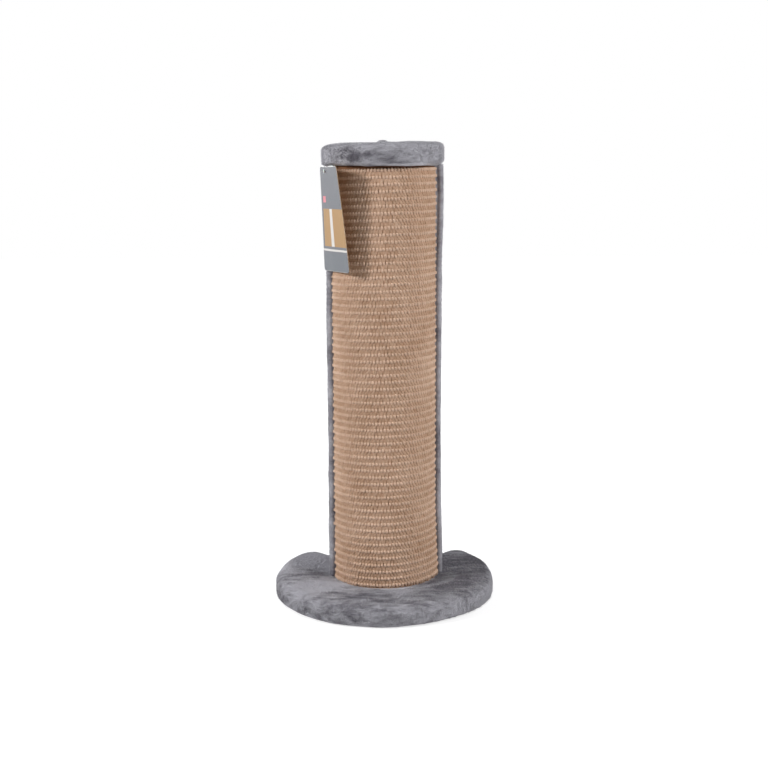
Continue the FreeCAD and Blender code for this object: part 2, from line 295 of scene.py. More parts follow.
class PlushLooks(bpy.types.PropertyGroup):
    """Grey plush of the foot, the cap and the post's sides."""

    light: colour_property("Raised pile", "Colour where the pile is brushed up", 190, 189, 196)
    dark: colour_property("Pressed pile", "Colour where the pile is brushed down", 108, 105, 113)
    fibre: length_property("Fibre length", "Length of a fibre of the pile", 0.0016)
    fibre_width: length_property("Fibre width", "Width of a tuft of fibres at its root", 0.00047)
    density: number_property("Fibre density", "Tufts per square metre", 900000)
    lump: length_property("Lumps", "Height of the soft lumps in the padding", 0.0007)
    base_corner: length_property("Foot corner", "Rounding of the foot's back corners", 0.017)
    cap_corner: length_property("Cap corner", "Rounding of the cap's back corners", 0.011)
    base_edge: length_property("Foot edge", "Rounding of the foot's upper edge", 0.011)
    cap_edge: length_property("Cap edge", "Rounding of the cap's upper edge", 0.006)
    base_under: length_property("Foot under edge", "Rounding of the foot's lower edge", 0.0023)
    cap_under: length_property("Cap under edge", "Rounding of the cap's lower edge", 0.0031)
    cap_set_in: length_property("Cap set in", "Height of the pile round the cap", 0.0014)
    cap_pressed: length_property("Cap pressed", "How far the cap's padding is pressed down all over", 0.0005)
    cap_slope: length_property("Cap slope", "How far the cap's padding sinks at its left end", 0.0022)
    cap_lift: length_property("Cap lift", "How far the cap's lower edge lifts at its right end", 0.004)
    cap_rise: length_property("Cap rise", "How far the cap's padding rises at its right end", 0.0008)
    cap_hang: length_property("Cap hang", "How far the cap's lower edge hangs over the carpet", 0.0011)
    base_rise: length_property("Foot rise", "How far the foot's padding rises at the right back", 0.0015)
    base_lift: length_property("Foot lift", "How far the foot's lower edge lifts at the right front", 0.0022)
    base_set_out: length_property("Foot set out", "How far the pile stands out round the foot", 0.0014)
    base_dish: length_property("Foot dish", "How far the post presses the foot's plush down", 0.002)
    base_hem: length_property("Foot hem", "Width of the hem under the foot", 0.026)
    cap_hem: length_property("Cap hem", "Width of the hem under the cap", 0.015)


class WrapLooks(bpy.types.PropertyGroup):
    """Plush wrap of the post with its rolled hems."""

    thickness: length_property("Thickness", "Thickness of the plush", 0.0042)
    back_corner: length_property("Back corner", "Rounding at the back of the post", 0.008)
    left_roll: length_property("Left hem", "Radius of the rolled hem on the left", 0.0042)
    right_roll: length_property("Right hem", "Radius of the rolled hem on the right", 0.0032)
    left_depth: length_property("Left hem depth", "Distance of the left hem from the axis", 0.0577)
    right_depth: length_property("Right hem depth", "Distance of the right hem from the axis", 0.0605)
    left_angle: angle_property("Left hem angle", "Place of the left hem, from the front", 79.4)
    right_angle: angle_property("Right hem angle", "Place of the right hem, from the front", 88.0)
    waviness: length_property("Waviness", "How far the hems stray from straight", 0.0006)
    bulge: length_property("Bulge", "How far the right hem stands out near its ends", 0.002)
    short_pile: number_property("Short pile", "Share of the pile's length on the hems", 0.6)


class CarpetLooks(bpy.types.PropertyGroup):
    """Looped sisal carpet on the front of the post."""

    rows: IntProperty(name="Rows", description="Rows of loops from foot to cap", default=61)
    columns: IntProperty(name="Loops", description="Loops in a row", default=44)
    left_edge: angle_property("Left edge", "Left edge of the carpet, from the front", 73)
    right_edge: angle_property("Right edge", "Right edge of the carpet, from the front", 84)
    backing: length_property("Backing", "Thickness of the backing", 0.0019)
    loop: length_property("Loop strand", "Radius of a loop's strand", 0.00162)
    strand: length_property("Flat strand", "Radius of a strand between the rows", 0.0021)
    loop_flat: number_property("Loop flatness", "Thickness of a loop's strand per width", 0.9)
    strand_flat: number_property("Strand flatness", "Thickness of a flat strand per width", 0.6)
    loop_tilt: angle_property("Loop tilt", "How far a loop leans along its row", 7)
    strand_tilt: angle_property("Strand tilt", "How far a strand between the rows leans", 30)
    rise: angle_property("Rise", "Slope of the rows, up to the right", 1.2)
    flare: length_property("Flare", "How far the carpet stands off at the lower right", 0.003)
    stray: length_property("Unevenness", "How far a loop strays from its place", 0.00022)
    colour: colour_property("Sisal", "Colour of the strands", 232, 202, 180)
    # The dark end also serves the painted shade of the strands between rows.
    shade: colour_property("Dark sisal", "Colour of the darkest strands", 170, 134, 106)
    ground: colour_property("Backing", "Colour of the backing", 132, 90, 58)


class TagLooks(bpy.types.PropertyGroup):
    """Hang tag of printed card."""

    width: length_property("Width", "Width of the card", 0.056)
    thickness: length_property("Thickness", "Thickness of the card", 0.0006)
    corner: length_property("Corner", "Rounding of the card's corners", 0.004)
    top_angle: angle_property("Top angle", "Way that the top edge faces, from the front", -70)
    bottom_angle: angle_property("Bottom angle", "Way that the bottom edge faces, from the front", -60)
    top_depth: length_property("Top depth", "Distance of the top edge from the axis", 0.0684)
    raised: length_property("Raised", "How far the card reaches up towards the cap", 0.0035)
    bottom_depth: length_property("Bottom depth", "Distance of the bottom edge from the axis", 0.0624)
    top_forward: length_property("Top forward", "How far the top edge hangs to the front", 0.0215)
    bottom_forward: length_property("Bottom forward", "How far the bottom edge hangs to the front", 0.0105)
    crease: length_property("Crease", "Depth of the upright crease", 0.0007)
    grey: colour_property("Grey block", "Colour of the main block", 118, 120, 126)
    slate: colour_property("Slate block", "Colour of the lower block and the thin line", 116, 120, 126)
    amber: colour_property("Amber block", "Colour of the warm block", 177, 140, 95)
    coral: colour_property("Coral block", "Colour of the small block", 226, 140, 150)
    pale: colour_property("Pale stripe", "Colour of the stripes and the card's edge", 222, 218, 214)


class StageLooks(bpy.types.PropertyGroup):
    """Floor, light and camera."""

    camera_distance: length_property("Camera distance", "Distance of the camera from the post", 1.327)
    camera_side: length_property("Camera side", "How far the camera stands to the right", 0.0015)
    camera_height: length_property("Camera height", "Height of the camera", 0.4618)
    camera_pitch: angle_property("Camera pitch", "How far the camera looks down", 9.55)
    camera_roll: angle_property("Camera roll", "How far the camera leans", 0.25)
    lens: number_property("Lens", "Focal length in millimetres", 56.86)
    sky: number_property("Room light", "Strength of the light from the front", 0.07)
    sky_behind: number_property("Back light", "Strength of the light from behind", 0.5)
    key: power_property("Key light", "Power of the lamp at the front left", 32.0)
    fill: power_property("Fill light", "Power of the lamp at the right", 30.0)
    rim: power_property("Rim light", "Power of the lamp at the back left", 14.0)
    floor: colour_property("Floor", "Colour of the floor", 200, 200, 200)


def place(tree, kind, inputs=(), **settings):
    """Add a node, with its settings, and set or link its inputs."""
    node = tree.nodes.new(kind)
    for key, value in settings.items():
        setattr(node, key, value)
    for key, value in dict(inputs).items():
        if isinstance(value, bpy.types.NodeSocket):
            tree.links.new(value, node.inputs[key])
        else:
            node.inputs[key].default_value = value
    return node


def maths(tree, operation, *values):
    return place(tree, "ShaderNodeMath", dict(enumerate(values)), operation=operation).outputs[0]


def vector_maths(tree, operation, *values):
    return place(tree, "ShaderNodeVectorMath", dict(enumerate(values)), operation=operation).outputs[0]


def weighed(tree, first, first_weight, second, second_weight):
    """Sum of two values, each by its own weight."""
    return maths(tree, "MULTIPLY_ADD", first, first_weight, maths(tree, "MULTIPLY", second, second_weight))


def swung(tree, value, swing):
    """A value of 0 to 1, as a swing of that size about 0."""
    return maths(tree, "MULTIPLY_ADD", value, swing, -swing / 2)


def blend_colours(tree, factor, first, second):
    inputs = {0: factor, 6: first, 7: second}
    return place(tree, "ShaderNodeMix", inputs, data_type="RGBA").outputs[2]


def noise_value(tree, vector, scale, detail=3.0, roughness=0.55, distortion=0.0):
    inputs = {
        "Vector": vector, "Scale": scale, "Detail": detail, "Roughness": roughness, "Distortion": distortion,
    }
    return place(tree, "ShaderNodeTexNoise", inputs).outputs[0]


def stretched(tree, vector, scale):
    return place(tree, "ShaderNodeMapping", {"Vector": vector, "Scale": scale}).outputs[0]


def eased(tree, value, low, high):
    """Smooth step of a value from 0 at low to 1 at high."""
    inputs = {"Value": value, "From Min": low, "From Max": high}
    return place(tree, "ShaderNodeMapRange", inputs, interpolation_type="SMOOTHSTEP").outputs[0]


def attribute_value(tree, name):
    return place(tree, "ShaderNodeAttribute", attribute_name=name).outputs["Fac"]


def opaque(colour):
    return (*colour, 1.0)


def new_group(name, inputs, outputs):
    """Empty shader group with its named sockets; returns the tree and its two end nodes."""
    tree = bpy.data.node_groups.new(name, "ShaderNodeTree")
    for label, kind, value in inputs:
        socket = tree.interface.new_socket(label, in_out="INPUT", socket_type=kind)
        if value is not None:
            socket.default_value = value
    for label, kind in outputs:
        tree.interface.new_socket(label, in_out="OUTPUT", socket_type=kind)
    return tree, place(tree, "NodeGroupInput"), place(tree, "NodeGroupOutput")


def fibre_grain_group():
    """Fine hairy grain for cloth, yarn, paper and board: a value and a height."""
    if "Fibre grain" in bpy.data.node_groups:
        return bpy.data.node_groups["Fibre grain"]
    tree, start, end = new_group(
        "Fibre grain",
        [("Vector", "NodeSocketVector", None), ("Scale", "NodeSocketFloat", 900.0)],
        [("Value", "NodeSocketFloat"), ("Height", "NodeSocketFloat")],
    )
    vector = start.outputs["Vector"]
    scale = start.outputs["Scale"]
    coarse_scale = maths(tree, "MULTIPLY", scale, 0.31)
    fine = noise_value(tree, vector, scale, detail=2.0)
    coarse = noise_value(tree, vector, coarse_scale, detail=3.0, roughness=0.6, distortion=0.4)
    both = weighed(tree, fine, 0.55, coarse, 0.45)
    tree.links.new(eased(tree, both, low=0.32, high=0.68), end.inputs["Value"])
    tree.links.new(both, end.inputs["Height"])
    return tree


def place_grain(tree, vector, scale):
    inputs = {"Vector": vector, "Scale": scale}
    return place(tree, "ShaderNodeGroup", inputs, node_tree=fibre_grain_group()).outputs


def brushed_pile_group():
    """Patches where plush is brushed up or down, with short streaks at their edges."""
    if "Brushed pile" in bpy.data.node_groups:
        return bpy.data.node_groups["Brushed pile"]
    tree, start, end = new_group(
        "Brushed pile",
        [
            ("Vector", "NodeSocketVector", None),
            ("Raised", "NodeSocketColor", (0.4, 0.4, 0.4, 1)),
            ("Pressed", "NodeSocketColor", (0.1, 0.1, 0.1, 1)),
            ("Patch scale", "NodeSocketFloat", 17.0),
            ("Bias", "NodeSocketFloat", 0.0),
            ("Calm", "NodeSocketFloat", 0.0),
        ],
        [("Colour", "NodeSocketColor"), ("Height", "NodeSocketFloat")],
    )
    given = start.outputs
    streak_scale = maths(tree, "MULTIPLY", given["Patch scale"], 6.0)
    patch_flow = stretched(tree, given["Vector"], (0.7, 1.25, 1.5))
    patches = noise_value(tree, patch_flow, given["Patch scale"], detail=4.0, roughness=0.62, distortion=0.2)
    streak_flow = stretched(tree, given["Vector"], (0.45, 1.7, 1.6))
    streaks = noise_value(tree, streak_flow, streak_scale, detail=4.0, roughness=0.65, distortion=0.2)
    mixed = weighed(tree, patches, 0.6, streaks, 0.4)
    even = place(tree, "ShaderNodeMix", {0: given["Calm"], 2: mixed, 3: 0.5}).outputs[0]
    raised = eased(tree, maths(tree, "ADD", even, given["Bias"]), low=0.395, high=0.6)
    grain = place_grain(tree, given["Vector"], scale=1100.0)
    amount = maths(tree, "ADD", raised, swung(tree, grain["Value"], 0.16))
    colour = blend_colours(tree, amount, given["Pressed"], given["Raised"])
    height = maths(tree, "ADD", grain["Height"], maths(tree, "MULTIPLY", streaks, 0.8))
    tree.links.new(colour, end.inputs["Colour"])
    tree.links.new(height, end.inputs["Height"])
    return tree


def new_material(name, roughness=0.8, **shader):
    """Material with a Principled shader, whose plain values are set on its own sockets."""
    material = bpy.data.materials.new(name)
    material.use_nodes = True
    tree = material.node_tree
    bsdf = tree.nodes["Principled BSDF"]
    bsdf.inputs["Roughness"].default_value = roughness
    for key, value in shader.items():
        bsdf.inputs[key.replace("_", " ")].default_value = value
    where = place(tree, "ShaderNodeTexCoord").outputs["Object"]
    return material, tree, bsdf, where


def add_bump(tree, bsdf, height, distance, strength=1.0):
    inputs = {"Height": height, "Distance": distance, "Strength": strength}
    bump = place(tree, "ShaderNodeBump", inputs)
    tree.links.new(bump.outputs["Normal"], bsdf.inputs["Normal"])


def vary_roughness(tree, bsdf, grain, least, spread):
    """Roughness that follows the grain, from the least one up."""
    rough = maths(tree, "MULTIPLY_ADD", grain["Value"], spread, least)
    tree.links.new(rough, bsdf.inputs["Roughness"])


def grained_material(name, dark, light, scale, bump, stretch=(1, 1, 1), spread=0.0, roughness=0.8, **shader):
    """Two tones mottled by the fibre grain, which also roughens the surface and may spread its gloss."""
    material, tree, bsdf, where = new_material(name, roughness, **shader)
    grain = place_grain(tree, stretched(tree, where, stretch), scale)
    colour = blend_colours(tree, grain["Value"], opaque(dark), opaque(light))
    tree.links.new(colour, bsdf.inputs["Base Color"])
    if spread:
        vary_roughness(tree, bsdf, grain, roughness, spread)
    add_bump(tree, bsdf, grain["Height"], bump)
    return material


def plush_material(looks):
    """Grey plush, brushed up and down in patches that the mesh's own values guide; these values also hold
    painted light and painted shade.
    """
    if "Grey plush" in bpy.data.materials:
        return bpy.data.materials["Grey plush"]
    material, tree, bsdf, where = new_material(
        "Grey plush", 0.95, Sheen_Weight=0.25, Sheen_Roughness=0.45, Specular_IOR_Level=0.15
    )
    inputs = {
        "Vector": where, "Raised": opaque(looks.light), "Pressed": opaque(looks.dark),
        "Bias": attribute_value(tree, "brushed"), "Calm": attribute_value(tree, "calm"),
    }
    pile = place(tree, "ShaderNodeGroup", inputs, node_tree=brushed_pile_group()).outputs
    tree.links.new(pile["Colour"], bsdf.inputs["Base Color"])
    add_bump(tree, bsdf, pile["Height"], distance=0.001, strength=0.5)
    return material


def sisal_material(looks):
    """Sisal strands, each with its own tint, in wide pale and dark patches; the tint also holds painted light
    on the loops and painted shade on the strands between rows.
    """
    material, tree, bsdf, where = new_material("Sisal strands", 0.75, Specular_IOR_Level=0.2)
    grain = place_grain(tree, stretched(tree, where, (1, 1, 0.35)), scale=1500.0)
    patches = noise_value(tree, where, scale=22.0, detail=2.0)
    amount = weighed(tree, attribute_value(tree, "tint"), 0.5, patches, 0.55)
    amount = maths(tree, "ADD", amount, swung(tree, grain["Value"], 0.3))
    colour = blend_colours(tree, amount, opaque(looks.shade), opaque(looks.colour))
    tree.links.new(colour, bsdf.inputs["Base Color"])
    add_bump(tree, bsdf, grain["Height"], distance=0.0004)
    return material


def between(tree, value, low, high):
    """1 between two bounds and 0 outside them."""
    return maths(
        tree, "MULTIPLY", maths(tree, "GREATER_THAN", value, low), maths(tree, "LESS_THAN", value, high)
    )


def from_edge(tree, share, size):
    """Distance from the nearer of two edges, in metres."""
    off_middle = maths(tree, "ABSOLUTE", maths(tree, "SUBTRACT", share, 0.5))
    return maths(tree, "MULTIPLY", maths(tree, "SUBTRACT", 0.5, off_middle), size)


def card_material(looks):
    """Plain colour blocks on satin card, placed on the card's own map, with pale wear along its edges."""
    material, tree, bsdf, where = new_material("Printed card", 0.42, Specular_IOR_Level=0.4)
    card_map = place(tree, "ShaderNodeUVMap", uv_map="card").outputs[0]
    across, up, _ = place(tree, "ShaderNodeSeparateXYZ", {0: card_map}).outputs
    blocks = [
        (looks.amber, (0.08, 1.01), (0.24, 0.60)),
        (looks.pale, (0.40, 0.52), (0.24, 0.60)),
        (looks.slate, (-0.01, 1.01), (-0.01, 0.17)),
        (looks.pale, (-0.01, 1.01), (0.195, 0.215)),
        (looks.coral, (0.10, 0.24), (0.66, 0.72)),
        (looks.slate, (0.30, 0.92), (0.68, 0.695)),
    ]
    colour = opaque(looks.grey)
    for block_colour, sides, ends in blocks:
        mask = maths(tree, "MULTIPLY", between(tree, across, *sides), between(tree, up, *ends))
        colour = blend_colours(tree, mask, colour, opaque(block_colour))
    nearest = maths(tree, "MINIMUM", from_edge(tree, across, looks.width), from_edge(tree, up, TAG_HEIGHT))
    near_edge = eased(tree, nearest, low=0.0011, high=0.0002)
    scuffs = eased(tree, noise_value(tree, where, scale=700.0), low=0.35, high=0.65)
    worn = maths(tree, "MULTIPLY", near_edge, scuffs)
    colour = blend_colours(tree, maths(tree, "MULTIPLY", worn, 0.6), colour, opaque(looks.pale))
    tree.links.new(colour, bsdf.inputs["Base Color"])
    grain = place_grain(tree, where, scale=1400.0)
    vary_roughness(tree, bsdf, grain, least=0.36, spread=0.12)
    add_bump(tree, bsdf, grain["Height"], distance=0.00006)
    return material


def board_material():
    """Raw particle board: pale and dark chips."""
    material, tree, bsdf, where = new_material("Particle board", 0.85)
    inputs = {"Vector": stretched(tree, where, (1, 1, 2.2)), "Scale": 330.0}
    chips = place(tree, "ShaderNodeTexVoronoi", inputs).outputs["Distance"]
    shade = maths(tree, "FRACT", maths(tree, "MULTIPLY", chips, 2.3))
    dark, middling, light = (
        opaque(screen_colour(*tone)) for tone in ((120, 88, 54), (168, 132, 88), (214, 186, 142))
    )
    grain = place_grain(tree, where, scale=1300.0)
    colour = blend_colours(tree, shade, middling, light)
    colour = blend_colours(tree, maths(tree, "MULTIPLY", grain["Value"], 0.3), colour, dark)
    tree.links.new(colour, bsdf.inputs["Base Color"])
    add_bump(tree, bsdf, chips, distance=0.0005, strength=0.6)
    return material


def paperboard_material():
    """Brown paperboard with the seams of its spiral wind."""
    material, tree, bsdf, where = new_material("Paperboard", 0.8)
    parts = place(tree, "ShaderNodeSeparateXYZ", {0: where}).outputs
    winds_per_metre = 11.0
    turn = maths(tree, "ARCTAN2", parts["Y"], parts["X"])
    climb = maths(tree, "MULTIPLY_ADD", parts["Z"], winds_per_metre, maths(tree, "DIVIDE", turn, math.tau))
    seam = eased(tree, maths(tree, "PINGPONG", climb, 0.5), low=0.0, high=0.03)
    grain = place_grain(tree, stretched(tree, where, (1, 1, 0.4)), scale=800.0)
    dark, middling, light = (
        opaque(screen_colour(*tone)) for tone in ((128, 98, 66), (176, 142, 102), (198, 166, 126))
    )
    paper = blend_colours(tree, grain["Value"], middling, light)
    tree.links.new(blend_colours(tree, seam, dark, paper), bsdf.inputs["Base Color"])
    add_bump(tree, bsdf, maths(tree, "ADD", seam, grain["Height"]), distance=0.0003)
    return material


def plated_material(name, dark, light):
    """Plated steel with fine scratches."""
    return grained_material(
        name, dark, light, scale=2200.0, bump=0.00005, stretch=(1, 1, 0.1),
        roughness=0.25, spread=0.2, Metallic=1.0,
    )


def add_object(name, mesh, material):
    """Put a finished mesh in the scene under its piece's name, with smooth faces."""
    mesh.name = name
    mesh.materials.clear()
    mesh.materials.append(material)
    mesh.shade_smooth()
    piece = bpy.data.objects.new(name, mesh)
    bpy.context.scene.collection.objects.link(piece)
    return piece


def finish_piece(piece, body, slot, *nodes):
    """Tie a piece to its body and hide the solids that it stands for; the finish that it is given is not
    used.
    """
    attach(piece, body)
    if nodes:
        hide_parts(*nodes)
    return piece


def skin(rings, start=None, end=None):
    """Closed mesh through rings of points, each end closed by a point or by its own ring."""
    count = len(rings[0])
    points = np.concatenate(rings)
    here = np.arange(count)
    after = np.roll(here, -1)
    faces = []
    for level in range(len(rings) - 1):
        low = level * count
        faces += np.column_stack((low + here, low + after, low + count + after, low + count + here)).tolist()
    top = (len(rings) - 1) * count
    extra = []
    for tip, first in ((start, 0), (end, top)):
        if tip is None:
            faces.append((first + here).tolist())
        else:
            middle = len(points) + len(extra)
            extra.append(tip)
            faces += [(first + a, first + b, middle) for a, b in zip(here.tolist(), after.tolist())]
    if extra:
        points = np.concatenate((points, np.array(extra)))
    mesh = bpy.data.meshes.new("skin")
    mesh.from_pydata(points.tolist(), [], faces)
    shape = bmesh.new()
    shape.from_mesh(mesh)
    bmesh.ops.recalc_face_normals(shape, faces=shape.faces)
    shape.to_mesh(mesh)
    shape.free()
    return mesh


def mesh_points(mesh):
    return np.array([vertex.co for vertex in mesh.vertices])


def store(mesh, name, values):
    """Keep one value for each point of a mesh, which its material or its pile reads."""
    attribute = mesh.attributes.new(name, "FLOAT", "POINT")
    attribute.data.foreach_set("value", np.array(values, dtype=np.float32))


def arc(centre, radius, start, end, count):
    """Points on an arc, without its last one."""
    turns = np.linspace(start, end, count, endpoint=False)
    return np.column_stack((centre[0] + radius * np.cos(turns), centre[1] + radius * np.sin(turns)))


def line(start, end, count):
    """Points on a line, without its last one."""
    shares = np.linspace(0, 1, count, endpoint=False)[:, None]
    return start + (end - start) * shares


def flipped(points):
    """The same run of points on the left, walked the other way."""
    return points[::-1] * MIRROR


def back_corner(radius, set_back, corner):
    """Rounded corner of notch and rim: its reach along the notch, its middle, and where it meets the rim."""
    reach = math.sqrt((radius - corner) ** 2 - (set_back + corner) ** 2)
    centre = INTO * (set_back + corner) + ALONG * reach
    return reach, centre, math.atan2(centre[1], centre[0])


def notched_ring(radius, set_back, corner, inner):
    """Outline of a disc with a quarter left out, from its inner corner round by the right."""
    reach, centre, rim_turn = back_corner(radius, set_back, corner)
    face_start = INTO * set_back + ALONG * (inner - set_back)
    face_end = INTO * set_back + ALONG * reach
    nook = (0, 2 * DIAGONAL * (inner - set_back))
    return np.concatenate((
        line(face_start, face_end, FACE_POINTS),
        arc(centre, corner, RIGHT_FACE_TURN, rim_turn, LOBE_POINTS),
        arc(AXIS, radius, rim_turn, -math.pi - rim_turn, RIM_POINTS),
        arc(centre * MIRROR, corner, math.pi - rim_turn, LEFT_FACE_TURN, LOBE_POINTS),
        line(face_end * MIRROR, face_start * MIRROR, FACE_POINTS),
        arc(nook, inner, LEFT_FACE_TURN + math.pi, RIGHT_FACE_TURN + math.pi, NOOK_POINTS),
    ))


def drawn_in(radius, corner, inset):
    """Notched outline that lies an inset inside another."""
    return notched_ring(radius - inset, inset, max(corner - inset, LEAST_CORNER), INNER_CORNER + inset)


def at_height(ring, height):
    return np.column_stack((ring, np.full(len(ring), height)))


def ring_middle(radius):
    """Point well inside a notched outline, which its rings close on."""
    return np.array((0.0, -radius * MIDDLE_SHARE))


def shrunk(ring, share, middle):
    return middle + (ring - middle) * share


def soft_lump(point, scale, seed):
    return noise.noise(Vector((point[0] * scale + seed, point[1] * scale, point[2] * scale)))


def clipped(value):
    return min(max(value, 0), 1)


def ramped(value, low, high):
    """0 at low, 1 at high and smooth between."""
    share = clipped((value - low) / (high - low))
    return share * share * (3 - 2 * share)


def cap_settle(point, share, looks):
    """Rise of the cap's padding at a point, whose share of the height is given."""
    x, y, _ = point
    off_axis = math.hypot(x, y)
    sunk = (looks.cap_pressed + looks.cap_slope * ramped(-x, *CAP_SINKS_LEFT)) * share
    end = ramped(x, *CAP_LIFTS_RIGHT)
    end += CAP_LEFT_LIFT * ramped(-x, *CAP_LIFTS_LEFT) * ramped(-y, *CAP_LIFTS_LEFT_FRONT)
    lifted = looks.cap_lift * ramped(off_axis, *CAP_RIM) * end * (1 - share)
    front = ramped(-y, *CAP_HANGS_FRONT) * ramped(off_axis, *CAP_HANGS_RIM)
    hung = looks.cap_hang * front * ramped(x, *CAP_HANGS_ACROSS) * (1 - end) * (1 - share)
    risen = looks.cap_rise * sum(ramped(x, *stretch) for stretch in CAP_RISES_RIGHT) * share
    return lifted + risen - sunk - hung


def base_settle(point, share, looks):
    """Rise of the foot's padding at a point, whose share of the height is given."""
    x, y, _ = point
    off_axis = math.hypot(x, y)
    off_lift = (math.atan2(x, -y) - FOOT_LIFT_TURN) / FOOT_LIFT_SPREAD
    lifted = looks.base_lift * ramped(off_axis, *FOOT_RIM) * math.exp(-off_lift ** 2) * (1 - share)
    risen = looks.base_rise * ramped(x, *FOOT_RISES_RIGHT) * ramped(y, *FOOT_RISES_BACK) * share
    pressed = looks.base_dish * (1 - ramped(off_axis, *FOOT_DISH)) * share
    return lifted + risen - pressed


def brush_marks(point, marks):
    """Sum of the soft strokes at a point."""
    total = 0
    for middle, reach, strength in marks:
        off = sum(((at - centre) / size) ** 2 for at, centre, size in zip(point, middle, reach))
        total += strength * math.exp(-off)
    return total


def cap_brush_and_painted_light(point, upward):
    """How far the cap's pile is brushed up at a point, with a painted highlight on its top and left end and
    painted light along its lower edge.
    """
    # low marks the band of painted light along the cap's lower edge.
    low = ramped(CAP_LOW.z - point[2], *CAP_PAINTED_LIGHT_BAND)
    return EVEN_BRUSH + CAP_TOP_PAINTED_HIGHLIGHT * upward + CAP_HEM_PAINTED_LIGHT * low + brush_marks(point, CAP_MARKS_AND_PAINTED_HIGHLIGHT)


def base_brush_and_painted_light(point, upward):
    """How far the foot's pile is brushed up at a point, with painted light on its left top and left back lobe
    and painted shade on its right top.
    """
    # right masks the painted shade and left the painted light on the foot's top.
    right = ramped(point[0], *FOOT_SHADED_RIGHT) * upward * ramped(point[1], *FOOT_SHADED_BEHIND_FRONT)
    left = ramped(-point[0], *FOOT_LIT_LEFT) * upward
    return EVEN_BRUSH + FOOT_RIGHT_PAINTED_SHADE * right + FOOT_LEFT_PAINTED_LIGHT * left + brush_marks(point, FOOT_MARKS_AND_PAINTED_LIGHT)


# Plush over a board: corners of both, roundings, hem, inset of the pile, and what moves and brushes it,
# painted light and shade included
Cover = namedtuple("Cover", [
    "name", "low", "high", "board_low", "board_high", "corner", "edge", "under", "hem", "set_in",
    "seed", "still", "settle", "brush",
])


def cover_mesh(cover):
    """Skin of a plush cover, from its board's pocket round the hem to the top, and its points inside."""
    low = cover.low.z
    high = cover.high.z
    radius = -cover.low.y - cover.set_in
    plush = cover.board_low.y - cover.low.y - cover.set_in
    middle = ring_middle(radius)
    pocket = drawn_in(radius, cover.corner, plush)
    mouth = drawn_in(radius, cover.corner, cover.hem)
    top = drawn_in(radius, cover.corner, cover.edge)
    rings = [at_height(shrunk(pocket, share, middle), cover.board_high.z) for share in POCKET_SHARES]
    rings += [at_height(ring, cover.board_low.z) for ring in (pocket, mouth)]
    rings.append(at_height(mouth, low))
    inside = len(rings) * len(pocket)
    profile = [(inset, low) for inset in np.linspace(cover.hem, cover.under, UNDER_RINGS)[1:-1]]
    for turn in np.linspace(0, math.pi / 2, UNDER_RINGS):
        profile.append((cover.under * (1 - math.sin(turn)), low + cover.under * (1 - math.cos(turn))))
    side_heights = np.linspace(low + cover.under, high - cover.edge, SIDE_RINGS)[1:-1]
    profile += [(0, height) for height in side_heights]
    for turn in np.linspace(0, math.pi / 2, EDGE_RINGS):
        profile.append((cover.edge * (1 - math.cos(turn)), high - cover.edge * (1 - math.sin(turn))))
    rings += [at_height(drawn_in(radius, cover.corner, inset), height) for inset, height in profile]
    rings += [at_height(shrunk(top, share, middle), high) for share in np.linspace(1, 0, TOP_RINGS)[1:-1]]
    return skin(rings, (*middle, cover.board_high.z), (*middle, high)), inside


def plush_cover(cover, looks):
    """Plush over a board: soft edges, a hem turned under, and small lumps outside the still radius."""
    mesh, inside = cover_mesh(cover)
    low = cover.low.z
    high = cover.high.z
    points = mesh_points(mesh)
    normals = np.array([vertex.normal for vertex in mesh.vertices])
    outside = np.arange(len(points)) >= inside
    pocket_middle = len(points) - 2
    outside[pocket_middle] = False
    for at in np.nonzero(outside)[0]:
        point = points[at]
        loose = clipped((math.hypot(point[0], point[1]) - cover.still) / STILL_EASE)
        if abs(point[2] - low) < SAME_HEIGHT:
            loose = 0
        lump = soft_lump(point, LUMP_SCALE, cover.seed) + 0.5 * soft_lump(point, FINE_LUMP_SCALE, cover.seed)
        point += normals[at] * looks.lump * loose * lump
        share = clipped((point[2] - low) / (high - low))
        point[2] += cover.settle(point, share, looks)
    mesh.vertices.foreach_set("co", points.ravel())
    above = outside & (points[:, 2] > low + PILE_ABOVE)
    under_post = np.hypot(points[:, 0], points[:, 1]) < cover.still - PILE_UNDER_POST
    store(mesh, "pile", above & ~under_post)
    # The brushed values carry the pile's patches together with painted light and painted shade.
    store(mesh, "brushed", [cover.brush(point, max(normal[2], 0)) for point, normal in zip(points, normals)])
    return add_object(cover.name, mesh, plush_material(looks))


def new_pattern(name, inputs):
    """Empty geometry tree with named inputs; returns the tree and its input sockets by name."""
    tree = bpy.data.node_groups.new(name, "GeometryNodeTree")
    tree.interface.new_socket("Geometry", in_out="INPUT", socket_type="NodeSocketGeometry")
    for kind, labels in inputs.items():
        for label in labels:
            tree.interface.new_socket(label, in_out="INPUT", socket_type="NodeSocket" + kind)
    tree.interface.new_socket("Geometry", in_out="OUTPUT", socket_type="NodeSocketGeometry")
    return tree, place(tree, "NodeGroupInput").outputs


def end_pattern(tree, geometry, material):
    """Close a tree with real geometry, smooth faces and its material."""
    real = place(tree, "GeometryNodeRealizeInstances", {"Geometry": geometry}).outputs[0]
    smooth = place(tree, "GeometryNodeSetShadeSmooth", {"Geometry": real}).outputs[0]
    painted = place(tree, "GeometryNodeSetMaterial", {"Geometry": smooth, "Material": material}).outputs[0]
    place(tree, "NodeGroupOutput", {0: painted})


def random_value(tree, low, high, seed):
    inputs = {2: low, 3: high, "Seed": seed}
    return place(tree, "FunctionNodeRandomValue", inputs, data_type="FLOAT").outputs[1]


